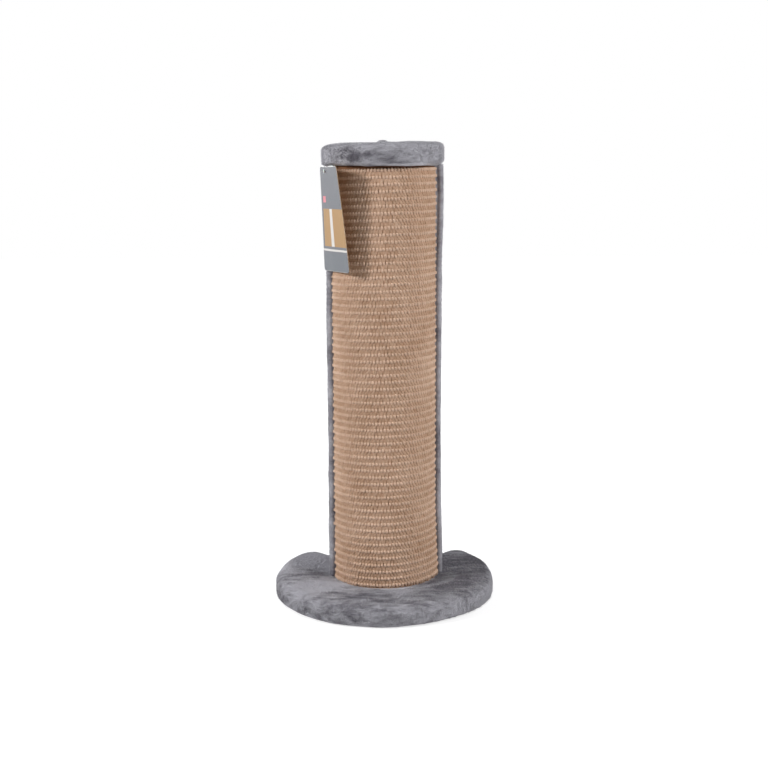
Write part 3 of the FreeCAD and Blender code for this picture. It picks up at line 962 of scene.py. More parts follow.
def grow(name, tree, source, values):
    """Run a tree on a source mesh and keep what it makes as a plain mesh object."""
    carrier = bpy.data.objects.new(name, source)
    bpy.context.scene.collection.objects.link(carrier)
    modifier = carrier.modifiers.new("Pattern", "NODES")
    modifier.node_group = tree
    sockets = {
        item.name: item.identifier for item in tree.interface.items_tree
        if item.item_type == "SOCKET" and item.in_out == "INPUT"
    }
    for label, value in values.items():
        modifier[sockets[label]] = value
    bpy.context.view_layer.update()
    graph = bpy.context.evaluated_depsgraph_get()
    mesh = bpy.data.meshes.new_from_object(
        carrier.evaluated_get(graph), preserve_all_data_layers=True, depsgraph=graph
    )
    if not mesh.polygons:
        raise RuntimeError(name + " grew nothing")
    carrier.modifiers.remove(modifier)
    carrier.data = mesh
    mesh.name = name
    return carrier


def scaled(tree, vector, scale):
    return place(tree, "ShaderNodeVectorMath", {0: vector, "Scale": scale}, operation="SCALE").outputs[0]


def pile_tree():
    """Tapered tufts all over a plush skin, leaning with a smooth flow."""
    if "Plush pile" in bpy.data.node_groups:
        return bpy.data.node_groups["Plush pile"]
    tree, given = new_pattern("Plush pile", {
        "Float": ["Density", "Length", "Width", "Lean"], "Int": ["Seed"], "Material": ["Material"],
    })
    covered = place(tree, "GeometryNodeInputNamedAttribute", {"Name": "pile"}, data_type="FLOAT").outputs[0]
    density = maths(tree, "MULTIPLY", given["Density"], maths(tree, "GREATER_THAN", covered, 0.05))
    roots = place(
        tree, "GeometryNodeDistributePointsOnFaces",
        {"Mesh": given["Geometry"], "Density": density, "Seed": given["Seed"]},
    )
    position = place(tree, "GeometryNodeInputPosition").outputs[0]
    flow_inputs = {"Vector": position, "Scale": FLOW_SCALE, "Detail": 3.0}
    flow = place(tree, "ShaderNodeTexNoise", flow_inputs).outputs["Color"]
    flow = vector_maths(tree, "SUBTRACT", flow, (0.5, 0.5, 0.5))
    wild_inputs = {0: (-WILD_SWAY,) * 3, 1: (WILD_SWAY,) * 3, "Seed": given["Seed"]}
    wild = place(tree, "FunctionNodeRandomValue", wild_inputs, data_type="FLOAT_VECTOR").outputs[0]
    sway = vector_maths(tree, "ADD", scaled(tree, flow, FLOW_SWAY), wild)
    heading = vector_maths(tree, "ADD", roots.outputs["Normal"], scaled(tree, sway, given["Lean"]))
    turn = place(tree, "FunctionNodeAlignRotationToVector", {"Vector": heading}, axis="Z").outputs[0]
    tuft = place(
        tree, "GeometryNodeMeshCone",
        {"Vertices": 3, "Radius Top": 0.0, "Radius Bottom": given["Width"], "Depth": given["Length"]},
    ).outputs["Mesh"]
    size = maths(tree, "MULTIPLY", random_value(tree, *TUFT_SIZES, given["Seed"]), covered)
    tufts = place(
        tree, "GeometryNodeInstanceOnPoints",
        {"Points": roots.outputs["Points"], "Instance": tuft, "Rotation": turn, "Scale": size},
    ).outputs[0]
    end_pattern(tree, tufts, given["Material"])
    return tree


def grow_pile(name, cover, looks, seed, density_share=1.0):
    values = {
        "Density": looks.density * density_share, "Length": looks.fibre, "Width": looks.fibre_width,
        "Lean": 1.0, "Seed": seed, "Material": plush_material(looks),
    }
    return finish_piece(grow(name, pile_tree(), cover.data, values), "stand", "grey_plush")


class SCRATCHER_OT_base_cover(bpy.types.Operator):
    """Plush over the foot, with its pile"""

    bl_idname = "scratcher.base_cover"
    bl_label = "Foot plush"

    def execute(self, context):
        looks = context.scene.scratcher_plush
        cover = plush_cover(Cover(
            name="base_cover", low=BASE_LOW, high=BASE_HIGH,
            board_low=BASE_BOARD_LOW, board_high=BASE_BOARD_HIGH,
            corner=looks.base_corner, edge=looks.base_edge, under=looks.base_under, hem=looks.base_hem,
            set_in=-looks.base_set_out, seed=3.1, still=FOOT_STILL, settle=base_settle, brush=base_brush_and_painted_light,
        ), looks)
        finish_piece(cover, "stand", "grey_plush", "base_plush_cover")
        grow_pile("base_pile", cover, looks, seed=11)
        return {"FINISHED"}


class SCRATCHER_OT_cap_cover(bpy.types.Operator):
    """Plush over the cap, with its pile"""

    bl_idname = "scratcher.cap_cover"
    bl_label = "Cap plush"

    def execute(self, context):
        looks = context.scene.scratcher_plush
        cover = plush_cover(Cover(
            name="cap_cover", low=CAP_LOW, high=CAP_HIGH,
            board_low=CAP_BOARD_LOW, board_high=CAP_BOARD_HIGH,
            corner=looks.cap_corner, edge=looks.cap_edge, under=looks.cap_under, hem=looks.cap_hem,
            set_in=looks.cap_set_in, seed=8.6, still=0.0, settle=cap_settle, brush=cap_brush_and_painted_light,
        ), looks)
        finish_piece(cover, "stand", "grey_plush", "cap_plush_cover")
        grow_pile("cap_pile", cover, looks, seed=23)
        return {"FINISHED"}


def wander(share, waves, *seed):
    """Smooth random value along the post's height."""
    return noise.noise(Vector((share * waves, *seed)))


def swelling(share, middle):
    """1 at the middle of a bulge along the post's height, and less away from it."""
    return math.exp(-((share - middle) / BULGE_SPREAD) ** 2)


def roll_place(looks, height, side):
    """Radius and distance of a rolled hem at one height."""
    share = (height - POST_LOW.z) / (POST_HIGH.z - POST_LOW.z)
    sway = wander(share, SLOW_WAVES, side * 4.7, 0.3) + 0.5 * wander(share, QUICK_WAVES, side, 5.1)
    swell = 1 + ROLL_SWELL * wander(share, SWELL_WAVES, side * 2.2, 9.4)
    if side < 0:
        return looks.left_roll * swell, looks.left_depth + looks.waviness * sway
    bulge = looks.bulge * (swelling(share, BULGE_UP) + swelling(share, 0))
    return looks.right_roll * swell, looks.right_depth + looks.waviness * sway + bulge


def unit(turn):
    return np.array((math.cos(turn), math.sin(turn)))


def wrap_outside(looks, height, side, edge_turn):
    """Outer run of the wrap on one side, from the notch by the rolled hem to the lip at the carpet's edge."""
    outer_radius = POST_RADIUS + looks.thickness
    corner = looks.back_corner
    reach, centre, rim_turn = back_corner(outer_radius, 0, corner)
    hem_turn = (looks.right_angle if side > 0 else looks.left_angle) - math.pi / 2
    radius, distance = roll_place(looks, height, side)
    shares = np.linspace(0, 1, FLANK_POINTS, endpoint=False)
    turns = rim_turn + (hem_turn + ROLL_JOIN * radius / distance - rim_turn) * shares
    crest = distance + ROLL_CREST * radius
    distances = outer_radius + (crest - outer_radius) * shares ** 2 * (3 - 2 * shares)
    flank = distances[:, None] * np.column_stack((np.cos(turns), np.sin(turns)))
    radial = unit(hem_turn)
    back = np.array((-radial[1], radial[0]))
    turns = np.linspace(*ROLL_TURNS, ROLL_POINTS)[:, None]
    roll = radial * distance + radius * (np.cos(turns) * radial + np.sin(turns) * back)
    lip_radius = POST_RADIUS + LIP_HEIGHT
    front = unit(edge_turn)
    return np.concatenate((
        line(ALONG * INNER_CORNER, ALONG * reach, NOTCH_POINTS),
        arc(centre, corner, RIGHT_FACE_TURN, rim_turn, CORNER_POINTS),
        flank,
        roll,
        arc(AXIS, lip_radius, hem_turn - LIP_START * radius / distance, edge_turn, LIP_POINTS),
        np.array([front * (lip_radius - LIP_CREST), front * (POST_RADIUS + LIP_FOOT)]),
    ))


def wrap_inside(looks, edge_turn):
    """Inner run of the wrap on one side, from the carpet's edge back to the notch."""
    thick = looks.thickness
    reach, centre, turn = back_corner(POST_RADIUS, thick, INNER_BACK_CORNER)
    return np.concatenate((
        arc(AXIS, POST_RADIUS, edge_turn + INNER_TURN, turn, INNER_POINTS),
        arc(centre, INNER_BACK_CORNER, turn, RIGHT_FACE_TURN, INNER_CORNER_POINTS),
        line(INTO * thick + ALONG * reach, INTO * thick - ALONG * (thick - INNER_CORNER), INNER_POINTS),
    ))


def wrap_ring(looks, carpet, height):
    """Cross-section of the whole wrap at one height."""
    right_turn, left_turn = (edge + LIP_TURN - math.pi / 2 for edge in (carpet.right_edge, carpet.left_edge))
    right_outer = wrap_outside(looks, height, 1, right_turn)
    left_outer = wrap_outside(looks, height, -1, left_turn)
    ring = np.concatenate((
        flipped(left_outer), right_outer,
        wrap_inside(looks, right_turn), flipped(wrap_inside(looks, left_turn)),
    ))
    return at_height(ring, height), len(left_outer) + len(right_outer)


class SCRATCHER_OT_post_wrap(bpy.types.Operator):
    """Plush round the sides and notch of the post, with a rolled hem beside the carpet"""

    bl_idname = "scratcher.post_wrap"
    bl_label = "Post plush"

    def execute(self, context):
        looks = context.scene.scratcher_wrap
        plush = context.scene.scratcher_plush
        rings = []
        for height in np.linspace(POST_LOW.z - plush.base_dish, POST_HIGH.z + WRAP_TUCK, WRAP_RINGS):
            ring, outer_count = wrap_ring(looks, context.scene.scratcher_carpet, height)
            rings.append(ring)
        mesh = skin(rings)
        lip_count = LIP_POINTS + LIP_END_POINTS
        hem_count = ROLL_POINTS + lip_count
        order = np.arange(len(rings[0]))
        outer = order < outer_count
        from_end = np.minimum(order, outer_count - 1 - order)
        hem = outer & (from_end < hem_count)
        lip = outer & (from_end < lip_count)
        pile = np.where(hem, looks.short_pile, np.where(outer, 1.0, 0.0))
        hem_brush = np.where(order < hem_count, LEFT_HEM_BRUSH, RIGHT_HEM_BRUSH)
        # The lips get painted light; the hems and sides get their brushing.
        brushed = np.where(lip, LIP_PAINTED_LIGHT, np.where(hem, hem_brush, SIDE_BRUSH))
        calm = np.where(hem, HEM_CALM, 0.0)
        for name, values in (("pile", pile), ("brushed", brushed), ("calm", calm)):
            store(mesh, name, np.tile(values, len(rings)))
        wrap = add_object("post_wrap", mesh, plush_material(plush))
        finish_piece(wrap, "stand", "grey_plush", "post_plush_wrap")
        grow_pile("wrap_pile", wrap, plush, seed=31, density_share=WRAP_PILE_SHARE)
        return {"FINISHED"}


def on_front(angle, radius, height):
    return (radius * math.sin(angle), -radius * math.cos(angle), height)


def settle_carpet(mesh, looks, dish):
    """Let the carpet's lower end press into the foot's plush and stand off at its right edge."""
    points = mesh_points(mesh)
    for point in points:
        low = 1 - ramped(point[2], CARPET_LOW.z, CARPET_LOW.z + PRESSED_END)
        flare = looks.flare * low * ramped(math.atan2(point[0], -point[1]), *FLARE_TURNS)
        point[:2] *= 1 + flare / math.hypot(point[0], point[1])
        point[2] -= dish * low
    mesh.vertices.foreach_set("co", points.ravel())
    mesh.update()


def carpet_backing_mesh(looks):
    """Curved backing panel of the carpet."""
    angles = np.linspace(-looks.left_edge, looks.right_edge, BACKING_COLUMNS)
    rings = []
    for height in np.linspace(CARPET_LOW.z, CARPET_HIGH.z, BACKING_RINGS):
        front = [on_front(angle, CARPET_INNER + looks.backing, height) for angle in angles]
        back = [on_front(angle, CARPET_INNER, height) for angle in angles[::-1]]
        rings.append(np.array(front + back))
    return skin(rings)


def loops_tree():
    """Rows of yarn loops on a cylinder, each an arched strand across its row."""
    tree, given = new_pattern("Carpet loops", {
        "Int": ["Rows", "Columns", "Bends", "Sides", "Seed"],
        "Float": [
            "Radius", "Half angle", "Shift", "Bottom", "Top", "Height", "Strand", "Tilt", "Rise", "Stray",
            "Row shift", "Reach", "Wobble", "Flatness", "Paleness",
        ],
        "Material": ["Material"],
    })

    def chance(low, high, shift):
        return random_value(tree, low, high, maths(tree, "ADD", given["Seed"], shift))

    def spread(label, shift):
        return chance(maths(tree, "MULTIPLY", given[label], -1.0), given[label], shift)

    def vector(**parts):
        return place(tree, "ShaderNodeCombineXYZ", parts).outputs[0]

    count = maths(tree, "MULTIPLY", given["Rows"], given["Columns"])
    points = place(tree, "GeometryNodePoints", {"Count": count}).outputs[0]
    index = place(tree, "GeometryNodeInputIndex").outputs[0]
    row = maths(tree, "FLOOR", maths(tree, "DIVIDE", maths(tree, "ADD", index, 0.5), given["Columns"]))
    column = maths(tree, "SUBTRACT", index, maths(tree, "MULTIPLY", row, given["Columns"]))
    pitch = maths(tree, "DIVIDE", maths(tree, "SUBTRACT", given["Top"], given["Bottom"]), given["Rows"])
    stagger = maths(tree, "MULTIPLY_ADD", maths(tree, "MODULO", row, 2.0), 0.5, 0.25)
    share = maths(tree, "DIVIDE", maths(tree, "ADD", column, stagger), given["Columns"])
    angle = maths(tree, "MULTIPLY", maths(tree, "MULTIPLY_ADD", share, 2.0, -1.0), given["Half angle"])
    angle = maths(tree, "ADD", angle, given["Shift"])
    angle = maths(tree, "ADD", angle, maths(tree, "DIVIDE", spread("Stray", 1.0), given["Radius"]))
    sideways = maths(tree, "MULTIPLY", angle, given["Radius"])
    climb = maths(tree, "MULTIPLY", sideways, maths(tree, "TANGENT", given["Rise"]))
    height = maths(tree, "MULTIPLY_ADD", maths(tree, "ADD", row, given["Row shift"]), pitch, given["Bottom"])
    height = maths(tree, "ADD", maths(tree, "ADD", height, climb), spread("Stray", 2.0))
    radius = maths(tree, "ADD", given["Radius"], spread("Stray", 3.0))
    across = maths(tree, "MULTIPLY", radius, maths(tree, "SINE", angle))
    deep = maths(tree, "MULTIPLY", radius, maths(tree, "MULTIPLY", maths(tree, "COSINE", angle), -1.0))
    where = vector(X=across, Y=deep, Z=height)
    points = place(tree, "GeometryNodeSetPosition", {"Geometry": points, "Position": where}).outputs[0]
    # Painted light and shade: loops get a lighter tint and strands between the rows a darker one, standing in
    # for light on the crests and shade in the grooves.
    tint = maths(tree, "ADD", chance(*TINTS, 4.0), given["Paleness"])
    points = place(
        tree, "GeometryNodeStoreNamedAttribute", {"Geometry": points, "Name": "tint", "Value": tint},
        data_type="FLOAT", domain="POINT",
    ).outputs[0]
    half = maths(tree, "MULTIPLY", pitch, given["Reach"])
    path = place(tree, "GeometryNodeCurveQuadraticBezier", {
        "Resolution": given["Bends"], "Start": vector(Z=maths(tree, "MULTIPLY", half, -1.0)),
        "Middle": vector(X=maths(tree, "MULTIPLY", given["Height"], 2.0)), "End": vector(Z=half),
    }).outputs[0]
    section = place(
        tree, "GeometryNodeCurvePrimitiveCircle", {"Resolution": given["Sides"], "Radius": given["Strand"]}
    ).outputs[0]
    strand = place(
        tree, "GeometryNodeCurveToMesh", {"Curve": path, "Profile Curve": section, "Fill Caps": True}
    ).outputs[0]
    side = maths(tree, "MINIMUM", maths(tree, "MULTIPLY", angle, TILT_EASE), 1.0)
    side = maths(tree, "MAXIMUM", side, -1.0)
    tilt = maths(tree, "MULTIPLY_ADD", side, given["Tilt"], spread("Wobble", 5.0))
    heading = vector(X=tilt, Z=maths(tree, "SUBTRACT", angle, math.pi / 2))
    turn = place(tree, "FunctionNodeEulerToRotation", {0: heading}).outputs[0]
    width = chance(*WIDTHS, 6.0)
    size = vector(X=maths(tree, "MULTIPLY", width, given["Flatness"]), Y=width, Z=width)
    loops = place(
        tree, "GeometryNodeInstanceOnPoints",
        {"Points": points, "Instance": strand, "Rotation": turn, "Scale": size},
    ).outputs[0]
    end_pattern(tree, loops, given["Material"])
    return tree


class SCRATCHER_OT_carpet(bpy.types.Operator):
    """Sisal carpet: its backing and the rows of loops on it"""

    bl_idname = "scratcher.carpet"
    bl_label = "Sisal carpet"

    def execute(self, context):
        looks = context.scene.scratcher_carpet
        ground = grained_material(
            "Carpet backing", [0.7 * value for value in looks.ground], looks.ground, scale=700.0, bump=0.0005
        )
        backing = add_object("carpet_backing", carpet_backing_mesh(looks), ground)
        finish_piece(backing, "stand", "sisal", "sisal_carpet")
        foot = CARPET_INNER + looks.backing
        crest = -CARPET_LOW.y + CREST_PROUD
        pitch = (CARPET_TOP - CARPET_BOTTOM) / looks.rows
        shared = {
            "Columns": looks.columns, "Radius": foot, "Half angle": (looks.left_edge + looks.right_edge) / 2,
            "Shift": (looks.right_edge - looks.left_edge) / 2, "Bottom": CARPET_BOTTOM, "Top": CARPET_TOP,
            "Rise": looks.rise, "Stray": looks.stray, "Material": sisal_material(looks),
        }
        kinds = {
            # Loops carry painted light on their crests; strands and fringe carry painted shade.
            "carpet_loops": {
                "Rows": looks.rows, "Row shift": 0.5, "Reach": 0.1,
                "Height": (crest - foot) / looks.loop_flat - looks.loop, "Strand": looks.loop,
                "Flatness": looks.loop_flat, "Bends": 5, "Sides": 6, "Tilt": looks.loop_tilt, "Wobble": 0.14,
                "Paleness": 0.4, "Seed": 5,
            },
            "carpet_strands": {
                "Rows": looks.rows - 1, "Row shift": 1.0, "Reach": 0.46, "Top": CARPET_TOP - pitch,
                "Height": 0.0003, "Strand": looks.strand, "Flatness": looks.strand_flat, "Bends": 4,
                "Sides": 5, "Tilt": looks.strand_tilt, "Wobble": 0.16, "Paleness": -0.36, "Seed": 19,
            },
            "carpet_fringe": {
                "Rows": 1, "Row shift": 0.16, "Reach": 0.3, "Top": CARPET_BOTTOM + pitch,
                "Columns": 2 * looks.columns, "Height": 0.0012, "Strand": 0.0006, "Flatness": 1.0, "Bends": 4,
                "Sides": 5, "Tilt": 0.0, "Stray": 0.0008, "Wobble": 0.5, "Paleness": -0.1, "Seed": 43,
            },
        }
        pattern = loops_tree()
        woven = []
        for name, values in kinds.items():
            piece = grow(name, pattern, bpy.data.meshes.new("empty"), {**shared, **values})
            woven.append(finish_piece(piece, "stand", "sisal", "sisal_carpet"))
        for piece in (backing, *woven):
            settle_carpet(piece.data, looks, context.scene.scratcher_plush.base_dish)
        return {"FINISHED"}


def card_point(looks, across, down):
    """Point of the twisted card; across and down are in metres from its near top corner."""
    share = down / TAG_HEIGHT
    angle = looks.top_angle + (looks.bottom_angle - looks.top_angle) * share
    depth = looks.top_depth + (looks.bottom_depth - looks.top_depth) * share
    fold = looks.width * CREASE_AT
    depth += looks.crease * (1 - abs(across - fold) / fold) * clipped((share - CREASE_START) / CREASE_EASE)
    forward = looks.top_forward + (looks.bottom_forward - looks.top_forward) * share
    ahead = forward + across - looks.width / 2
    x = math.sin(angle) * depth + math.cos(angle) * ahead
    y = -math.cos(angle) * depth + math.sin(angle) * ahead
    return (x, y, TAG_HIGH.z + looks.raised - down)


def rounded(value, other, size, other_size, corner):
    """Pull a grid point of the card's corner square into the corner's round."""
    side = math.copysign(1, value - size / 2)
    end = math.copysign(1, other - other_size / 2)
    centre = (size / 2 + side * (size / 2 - corner), other_size / 2 + end * (other_size / 2 - corner))
    way = Vector((value - centre[0], other - centre[1]))
    if way.x * side <= 0 or way.y * end <= 0 or way.length == 0:
        return value, other
    way = way.normalized() * max(abs(way.x), abs(way.y))
    return centre[0] + way.x, centre[1] + way.y


def steps_with_corners(size, corner, count):
    """Grid lines across the card, closer together in its corners."""
    near = corner * CARD_CORNER_STEPS
    middle = np.linspace(corner, size - corner, count)
    return np.concatenate((near, middle, size - near[::-1]))


def card_mesh(looks):
    """One sheet of the twisted card, with its map."""
    columns = steps_with_corners(looks.width, looks.corner, CARD_COLUMNS)
    rows = steps_with_corners(TAG_HEIGHT, looks.corner, CARD_ROWS)
    flat = [
        rounded(across, down, looks.width, TAG_HEIGHT, looks.corner) for down in rows for across in columns
    ]
    points = [card_point(looks, across, down) for across, down in flat]
    wide = len(columns)
    faces = [
        (at, at + wide, at + wide + 1, at + 1)
        for row in range(len(rows) - 1) for at in range(row * wide, row * wide + wide - 1)
    ]
    mesh = bpy.data.meshes.new("card")
    mesh.from_pydata(points, [], faces)
    places = mesh.uv_layers.new(name="card").data
    for loop in mesh.loops:
        across, down = flat[loop.vertex_index]
        places[loop.index].uv = (across / looks.width, 1 - down / TAG_HEIGHT)
    return mesh


class SCRATCHER_OT_tag_card(bpy.types.Operator):
    """Hang tag of printed card, turned and creased a little"""

    bl_idname = "scratcher.tag_card"
    bl_label = "Hang tag"

    def execute(self, context):
        looks = context.scene.scratcher_tag
        card = add_object("hang_tag", card_mesh(looks), card_material(looks))
        card.data.materials.append(grained_material(
            "Card back", screen_colour(146, 118, 86), screen_colour(168, 140, 106),
            scale=1200.0, bump=0.00005, roughness=0.6,
        ))
        wall = card.modifiers.new("Card", "SOLIDIFY")
        wall.thickness = looks.thickness
        wall.offset = 0.0
        wall.material_offset = 1
        wall.material_offset_rim = 1
        finish_piece(card, "tag", "printed_card", "tag_card")
        return {"FINISHED"}


def tube(points, radius, sides=8):
    """Closed round tube through a run of points."""
    rings = []
    for at, point in enumerate(points):
        ahead = Vector(points[min(at + 1, len(points) - 1)]) - Vector(points[max(at - 1, 0)])
        turn = ahead.to_track_quat("Z", "Y")
        ring = []
        for side in range(sides):
            angle = math.tau * side / sides
            off = Vector((radius * math.cos(angle), radius * math.sin(angle), 0))
            ring.append(Vector(point) + turn @ off)
        rings.append(np.array(ring))
    return skin(rings)


def joined(meshes):
    """One mesh from several."""
    shape = bmesh.new()
    for mesh in meshes:
        shape.from_mesh(mesh)
        bpy.data.meshes.remove(mesh)
    whole = bpy.data.meshes.new("joined")
    shape.to_mesh(whole)
    shape.free()
    return whole


class SCRATCHER_OT_tag_pin(bpy.types.Operator):
    """Nylon pin that carries the hang tag"""

    bl_idname = "scratcher.tag_pin"
    bl_label = "Tag pin"

    def execute(self, context):
        looks = context.scene.scratcher_tag
        hinge = next(joint for joint in frame["joints"] if joint["name"] == "tag_swing")
        axis = Vector(hinge["axis"]).normalized()
        bar_middle = Vector(hinge["pos_m"])
        hole = Vector(card_point(looks, looks.width * HOLE_ACROSS, HOLE_DOWN))
        out = Vector((math.sin(looks.top_angle), -math.cos(looks.top_angle), 0))
        behind = hole - out * THREAD_BEHIND
        ahead = hole + out * THREAD_AHEAD
        bend = bar_middle.lerp(behind, THREAD_BEND) - Vector((0, 0, THREAD_SAG))
        bar = tube([bar_middle - axis * BAR_HALF, bar_middle + axis * BAR_HALF], BAR_RADIUS)
        thread = tube([bar_middle, bend, behind, hole, ahead], THREAD_RADIUS, 6)
        paddle = tube([ahead + out * PADDLE_THICKNESS * share for share in (0, 0.5, 1)], PADDLE_RADIUS, 12)
        material = grained_material(
            "Nylon", screen_colour(214, 214, 210), screen_colour(234, 234, 230), scale=500.0, bump=0.00002,
            roughness=0.3, Subsurface_Weight=0.2,
        )
        pin = add_object("hang_pin", joined([bar, thread, paddle]), material)
        finish_piece(pin, "tag", "clear_nylon", "tag_pin")
        return {"FINISHED"}


class SCRATCHER_OT_bolt_cover(bpy.types.Operator):
    """Domed cover over the bolt in the cap"""

    bl_idname = "scratcher.bolt_cover"
    bl_label = "Bolt cover"

    def execute(self, context):
        x, y, _ = (COVER_LOW + COVER_HIGH) / 2
        radius = (COVER_HIGH.x - COVER_LOW.x) / 2
        rise = DOME_RISE * (COVER_HIGH.z - COVER_LOW.z)
        brim = DOME_BRIM * rise
        profile = [(across * radius, up * brim) for across, up in BRIM_PROFILE]
        for turn in np.linspace(*DOME_TURNS, DOME_RINGS):
            profile.append((DOME_RADIUS * radius * math.cos(turn), brim + (rise - brim) * math.sin(turn)))
        rings = [
            at_height(arc((x, y), distance, 0, math.tau, DOME_POINTS), COVER_LOW.z + height)
            for distance, height in profile
        ]
        mesh = skin(rings, (x, y, COVER_LOW.z), (x, y, COVER_LOW.z + rise))
        material = grained_material(
            "Cover plastic", screen_colour(126, 125, 131), screen_colour(150, 149, 155),
            scale=900.0, bump=0.00015, roughness=0.55,
        )
        cover = add_object("bolt_dome", mesh, material)
        finish_piece(cover, "stand", "grey_cover_plastic", "cap_bolt_cover")
        return {"FINISHED"}


class SCRATCHER_OT_under_sheet(bpy.types.Operator):
    """Non-woven sheet under the foot"""

    bl_idname = "scratcher.under_sheet"
    bl_label = "Under sheet"

    def execute(self, context):
        radius = -BASE_LOW.y
        inset = radius + SHEET_LOW.y
        outline = drawn_in(radius, context.scene.scratcher_plush.base_corner, inset)
        middle = ring_middle(radius)
        outlines = [shrunk(outline, share, middle) for share in SHEET_SHARES]
        lower = [at_height(ring, SHEET_LOW.z) for ring in outlines]
        upper = [at_height(ring, SHEET_HIGH.z) for ring in reversed(outlines)]
        mesh = skin(lower + upper, (*middle, SHEET_LOW.z), (*middle, SHEET_HIGH.z))
        material = grained_material(
            "Non-woven sheet", screen_colour(26, 26, 28), screen_colour(58, 58, 61), scale=700.0, bump=0.0004,
            roughness=0.9,
        )
        sheet = add_object("under_sheet", mesh, material)
        finish_piece(sheet, "stand", "nonwoven", "base_backing_sheet")
        return {"FINISHED"}


class SCRATCHER_OT_inner_frame(bpy.types.Operator):
    """Finishes of the boards, shell and fasteners that the plush hides"""

    bl_idname = "scratcher.inner_frame"
    bl_label = "Inner frame"

    def execute(self, context):
        fibre_board = grained_material(
            "Fibre board", screen_colour(150, 116, 80), screen_colour(172, 138, 100), scale=900.0, bump=0.0002
        )
        beech = grained_material(
            "Beech", screen_colour(190, 150, 108), screen_colour(222, 186, 144), scale=600.0, bump=0.0002,
            stretch=(1, 1, 0.08),
        )
        zinc = plated_material("Zinc plate", screen_colour(176, 176, 172), screen_colour(216, 216, 210))
        wire = plated_material("Galvanised wire", screen_colour(150, 150, 152), screen_colour(190, 190, 192))
        finishes = {
            board_material(): ("base_board", "cap_board", "bottom_plate", "top_plate"),
            fibre_board: ("left_notch_board", "right_notch_board"),
            beech: ("cap_dowels",),
            zinc: ("bolts", "square_nuts"),
            wire: ("base_staples", "cap_staples", "frame_brads"),
            paperboard_material(): ("post_shell",),
        }
        for material, nodes in finishes.items():
            for node in nodes:
                solid = frame["nodes"][node]
                solid.data.materials.clear()
                solid.data.materials.append(material)
        return {"FINISHED"}


def add_lamp(name, place_at, size, power):
    """Round soft lamp that looks at the post."""
    lamp = bpy.data.lights.new(name, "AREA")
    lamp.shape = "DISK"
    lamp.size = size
    lamp.energy = power
    holder = bpy.data.objects.new(name, lamp)
    holder.location = place_at
    holder.rotation_euler = (Vector(LAMP_AIM) - Vector(place_at)).to_track_quat("-Z", "Y").to_euler()
    bpy.context.scene.collection.objects.link(holder)


def seen_directly(tree):
    """1 for the camera, reflections and see-through, 0 for light that falls on things."""
    path = place(tree, "ShaderNodeLightPath").outputs
    seen = maths(tree, "MAXIMUM", path["Is Camera Ray"], path["Is Glossy Ray"])
    return maths(tree, "MAXIMUM", seen, path["Is Transmission Ray"])


def add_sky(looks):
    """White room, which lights things more from behind than from the front."""
    world = bpy.data.worlds.new("Studio")
    world.use_nodes = True
    tree = world.node_tree
    tree.nodes.clear()
    way = place(tree, "ShaderNodeSeparateXYZ", {0: place(tree, "ShaderNodeTexCoord").outputs["Generated"]})
    behind = eased(tree, way.outputs["Y"], low=-0.1, high=0.7)
    strength = maths(tree, "MULTIPLY_ADD", behind, looks.sky_behind - looks.sky, looks.sky)
    room = place(tree, "ShaderNodeBackground", {"Color": (1, 1, 1, 1), "Strength": strength}).outputs[0]
    white = place(tree, "ShaderNodeBackground", {"Color": (1, 1, 1, 1), "Strength": 1.0}).outputs[0]
    both = place(tree, "ShaderNodeMixShader", {0: seen_directly(tree), 1: room, 2: white}).outputs[0]
    place(tree, "ShaderNodeOutputWorld", {"Surface": both})
    bpy.context.scene.world = world


def floor_material(looks):
    """Matt floor that shows near white and keeps the shadow."""
    material = bpy.data.materials.new("Pale floor")
    material.use_nodes = True
    tree = material.node_tree
    tree.nodes.clear()
    matt = place(tree, "ShaderNodeBsdfDiffuse", {"Color": opaque(looks.floor)}).outputs[0]
    where = place(tree, "ShaderNodeTexCoord").outputs["Object"]
    distance = place(tree, "ShaderNodeVectorMath", {0: where}, operation="LENGTH").outputs["Value"]
    lift = maths(tree, "MULTIPLY_ADD", eased(tree, distance, *FLOOR_FADE), FLOOR_FAR_GLOW, FLOOR_GLOW)
    strength = maths(tree, "MULTIPLY", seen_directly(tree), lift)
    glow = place(tree, "ShaderNodeEmission", {"Strength": strength}).outputs[0]
    both = place(tree, "ShaderNodeAddShader", {0: matt, 1: glow}).outputs[0]
    place(tree, "ShaderNodeOutputMaterial", {"Surface": both})
    return material


def add_floor(looks):
    sides = ((-1, -1), (1, -1), (1, 1), (-1, 1))
    corners = [(FLOOR_HALF * x, FLOOR_HALF * y, FLOOR_LEVEL) for x, y in sides]
    mesh = bpy.data.meshes.new("floor")
    mesh.from_pydata(corners, [], [(0, 1, 2, 3)])
    mesh.materials.append(floor_material(looks))
    floor = bpy.data.objects.new("floor", mesh)
    bpy.context.scene.collection.objects.link(floor)


def add_camera(looks):
    lens = bpy.data.cameras.new("camera")
    lens.lens = looks.lens
    lens.sensor_width = FILM_WIDTH
    camera = bpy.data.objects.new("camera", lens)
    camera.location = (looks.camera_side, -looks.camera_distance, looks.camera_height)
    camera.rotation_euler = (math.pi / 2 - looks.camera_pitch, looks.camera_roll, 0)
    bpy.context.scene.collection.objects.link(camera)
    bpy.context.scene.camera = camera


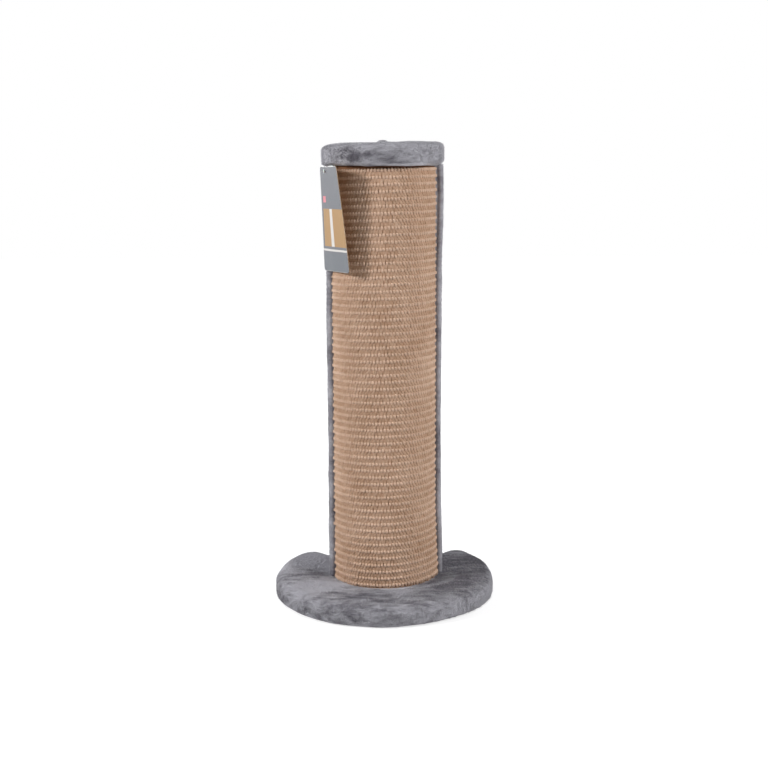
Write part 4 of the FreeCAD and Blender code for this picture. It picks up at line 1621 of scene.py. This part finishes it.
class SCRATCHER_OT_stage(bpy.types.Operator):
    """Pale floor, soft light and the camera"""

    bl_idname = "scratcher.stage"
    bl_label = "Stage"

    def execute(self, context):
        looks = context.scene.scratcher_stage
        add_sky(looks)
        add_floor(looks)
        for name, (place_at, size) in LAMPS.items():
            add_lamp(name, place_at, size, getattr(looks, name))
        add_camera(looks)
        context.scene.view_settings.view_transform = "Standard"
        return {"FINISHED"}


LOOKS = {
    "scratcher_plush": PlushLooks,
    "scratcher_wrap": WrapLooks,
    "scratcher_carpet": CarpetLooks,
    "scratcher_tag": TagLooks,
    "scratcher_stage": StageLooks,
}
OPERATORS = [
    SCRATCHER_OT_base_cover, SCRATCHER_OT_cap_cover, SCRATCHER_OT_post_wrap, SCRATCHER_OT_carpet,
    SCRATCHER_OT_tag_card, SCRATCHER_OT_tag_pin, SCRATCHER_OT_bolt_cover, SCRATCHER_OT_under_sheet,
    SCRATCHER_OT_inner_frame, SCRATCHER_OT_stage,
]


class SCRATCHER_PT_panel(bpy.types.Panel):
    """Pieces and looks of the scratcher"""

    bl_idname = "SCRATCHER_PT_panel"
    bl_label = "Corner cat scratcher"
    bl_space_type = "VIEW_3D"
    bl_region_type = "UI"
    bl_category = "Scratcher"

    def draw(self, context):
        for operator in OPERATORS:
            self.layout.operator(operator.bl_idname)
        for label in LOOKS:
            box = self.layout.box()
            looks = getattr(context.scene, label)
            for key in looks.bl_rna.properties.keys():
                if key not in {"rna_type", "name"}:
                    box.prop(looks, key)


def register():
    for label, looks in LOOKS.items():
        bpy.utils.register_class(looks)
        setattr(bpy.types.Scene, label, PointerProperty(type=looks))
    for operator in OPERATORS:
        bpy.utils.register_class(operator)
    bpy.utils.register_class(SCRATCHER_PT_panel)


def unregister():
    bpy.utils.unregister_class(SCRATCHER_PT_panel)
    for operator in reversed(OPERATORS):
        bpy.utils.unregister_class(operator)
    for label, looks in LOOKS.items():
        delattr(bpy.types.Scene, label)
        bpy.utils.unregister_class(looks)


def main():
    register()
    for operator in OPERATORS:
        family, action = operator.bl_idname.split(".")
        getattr(getattr(bpy.ops, family), action)()


if __name__ == "__main__":
    main()
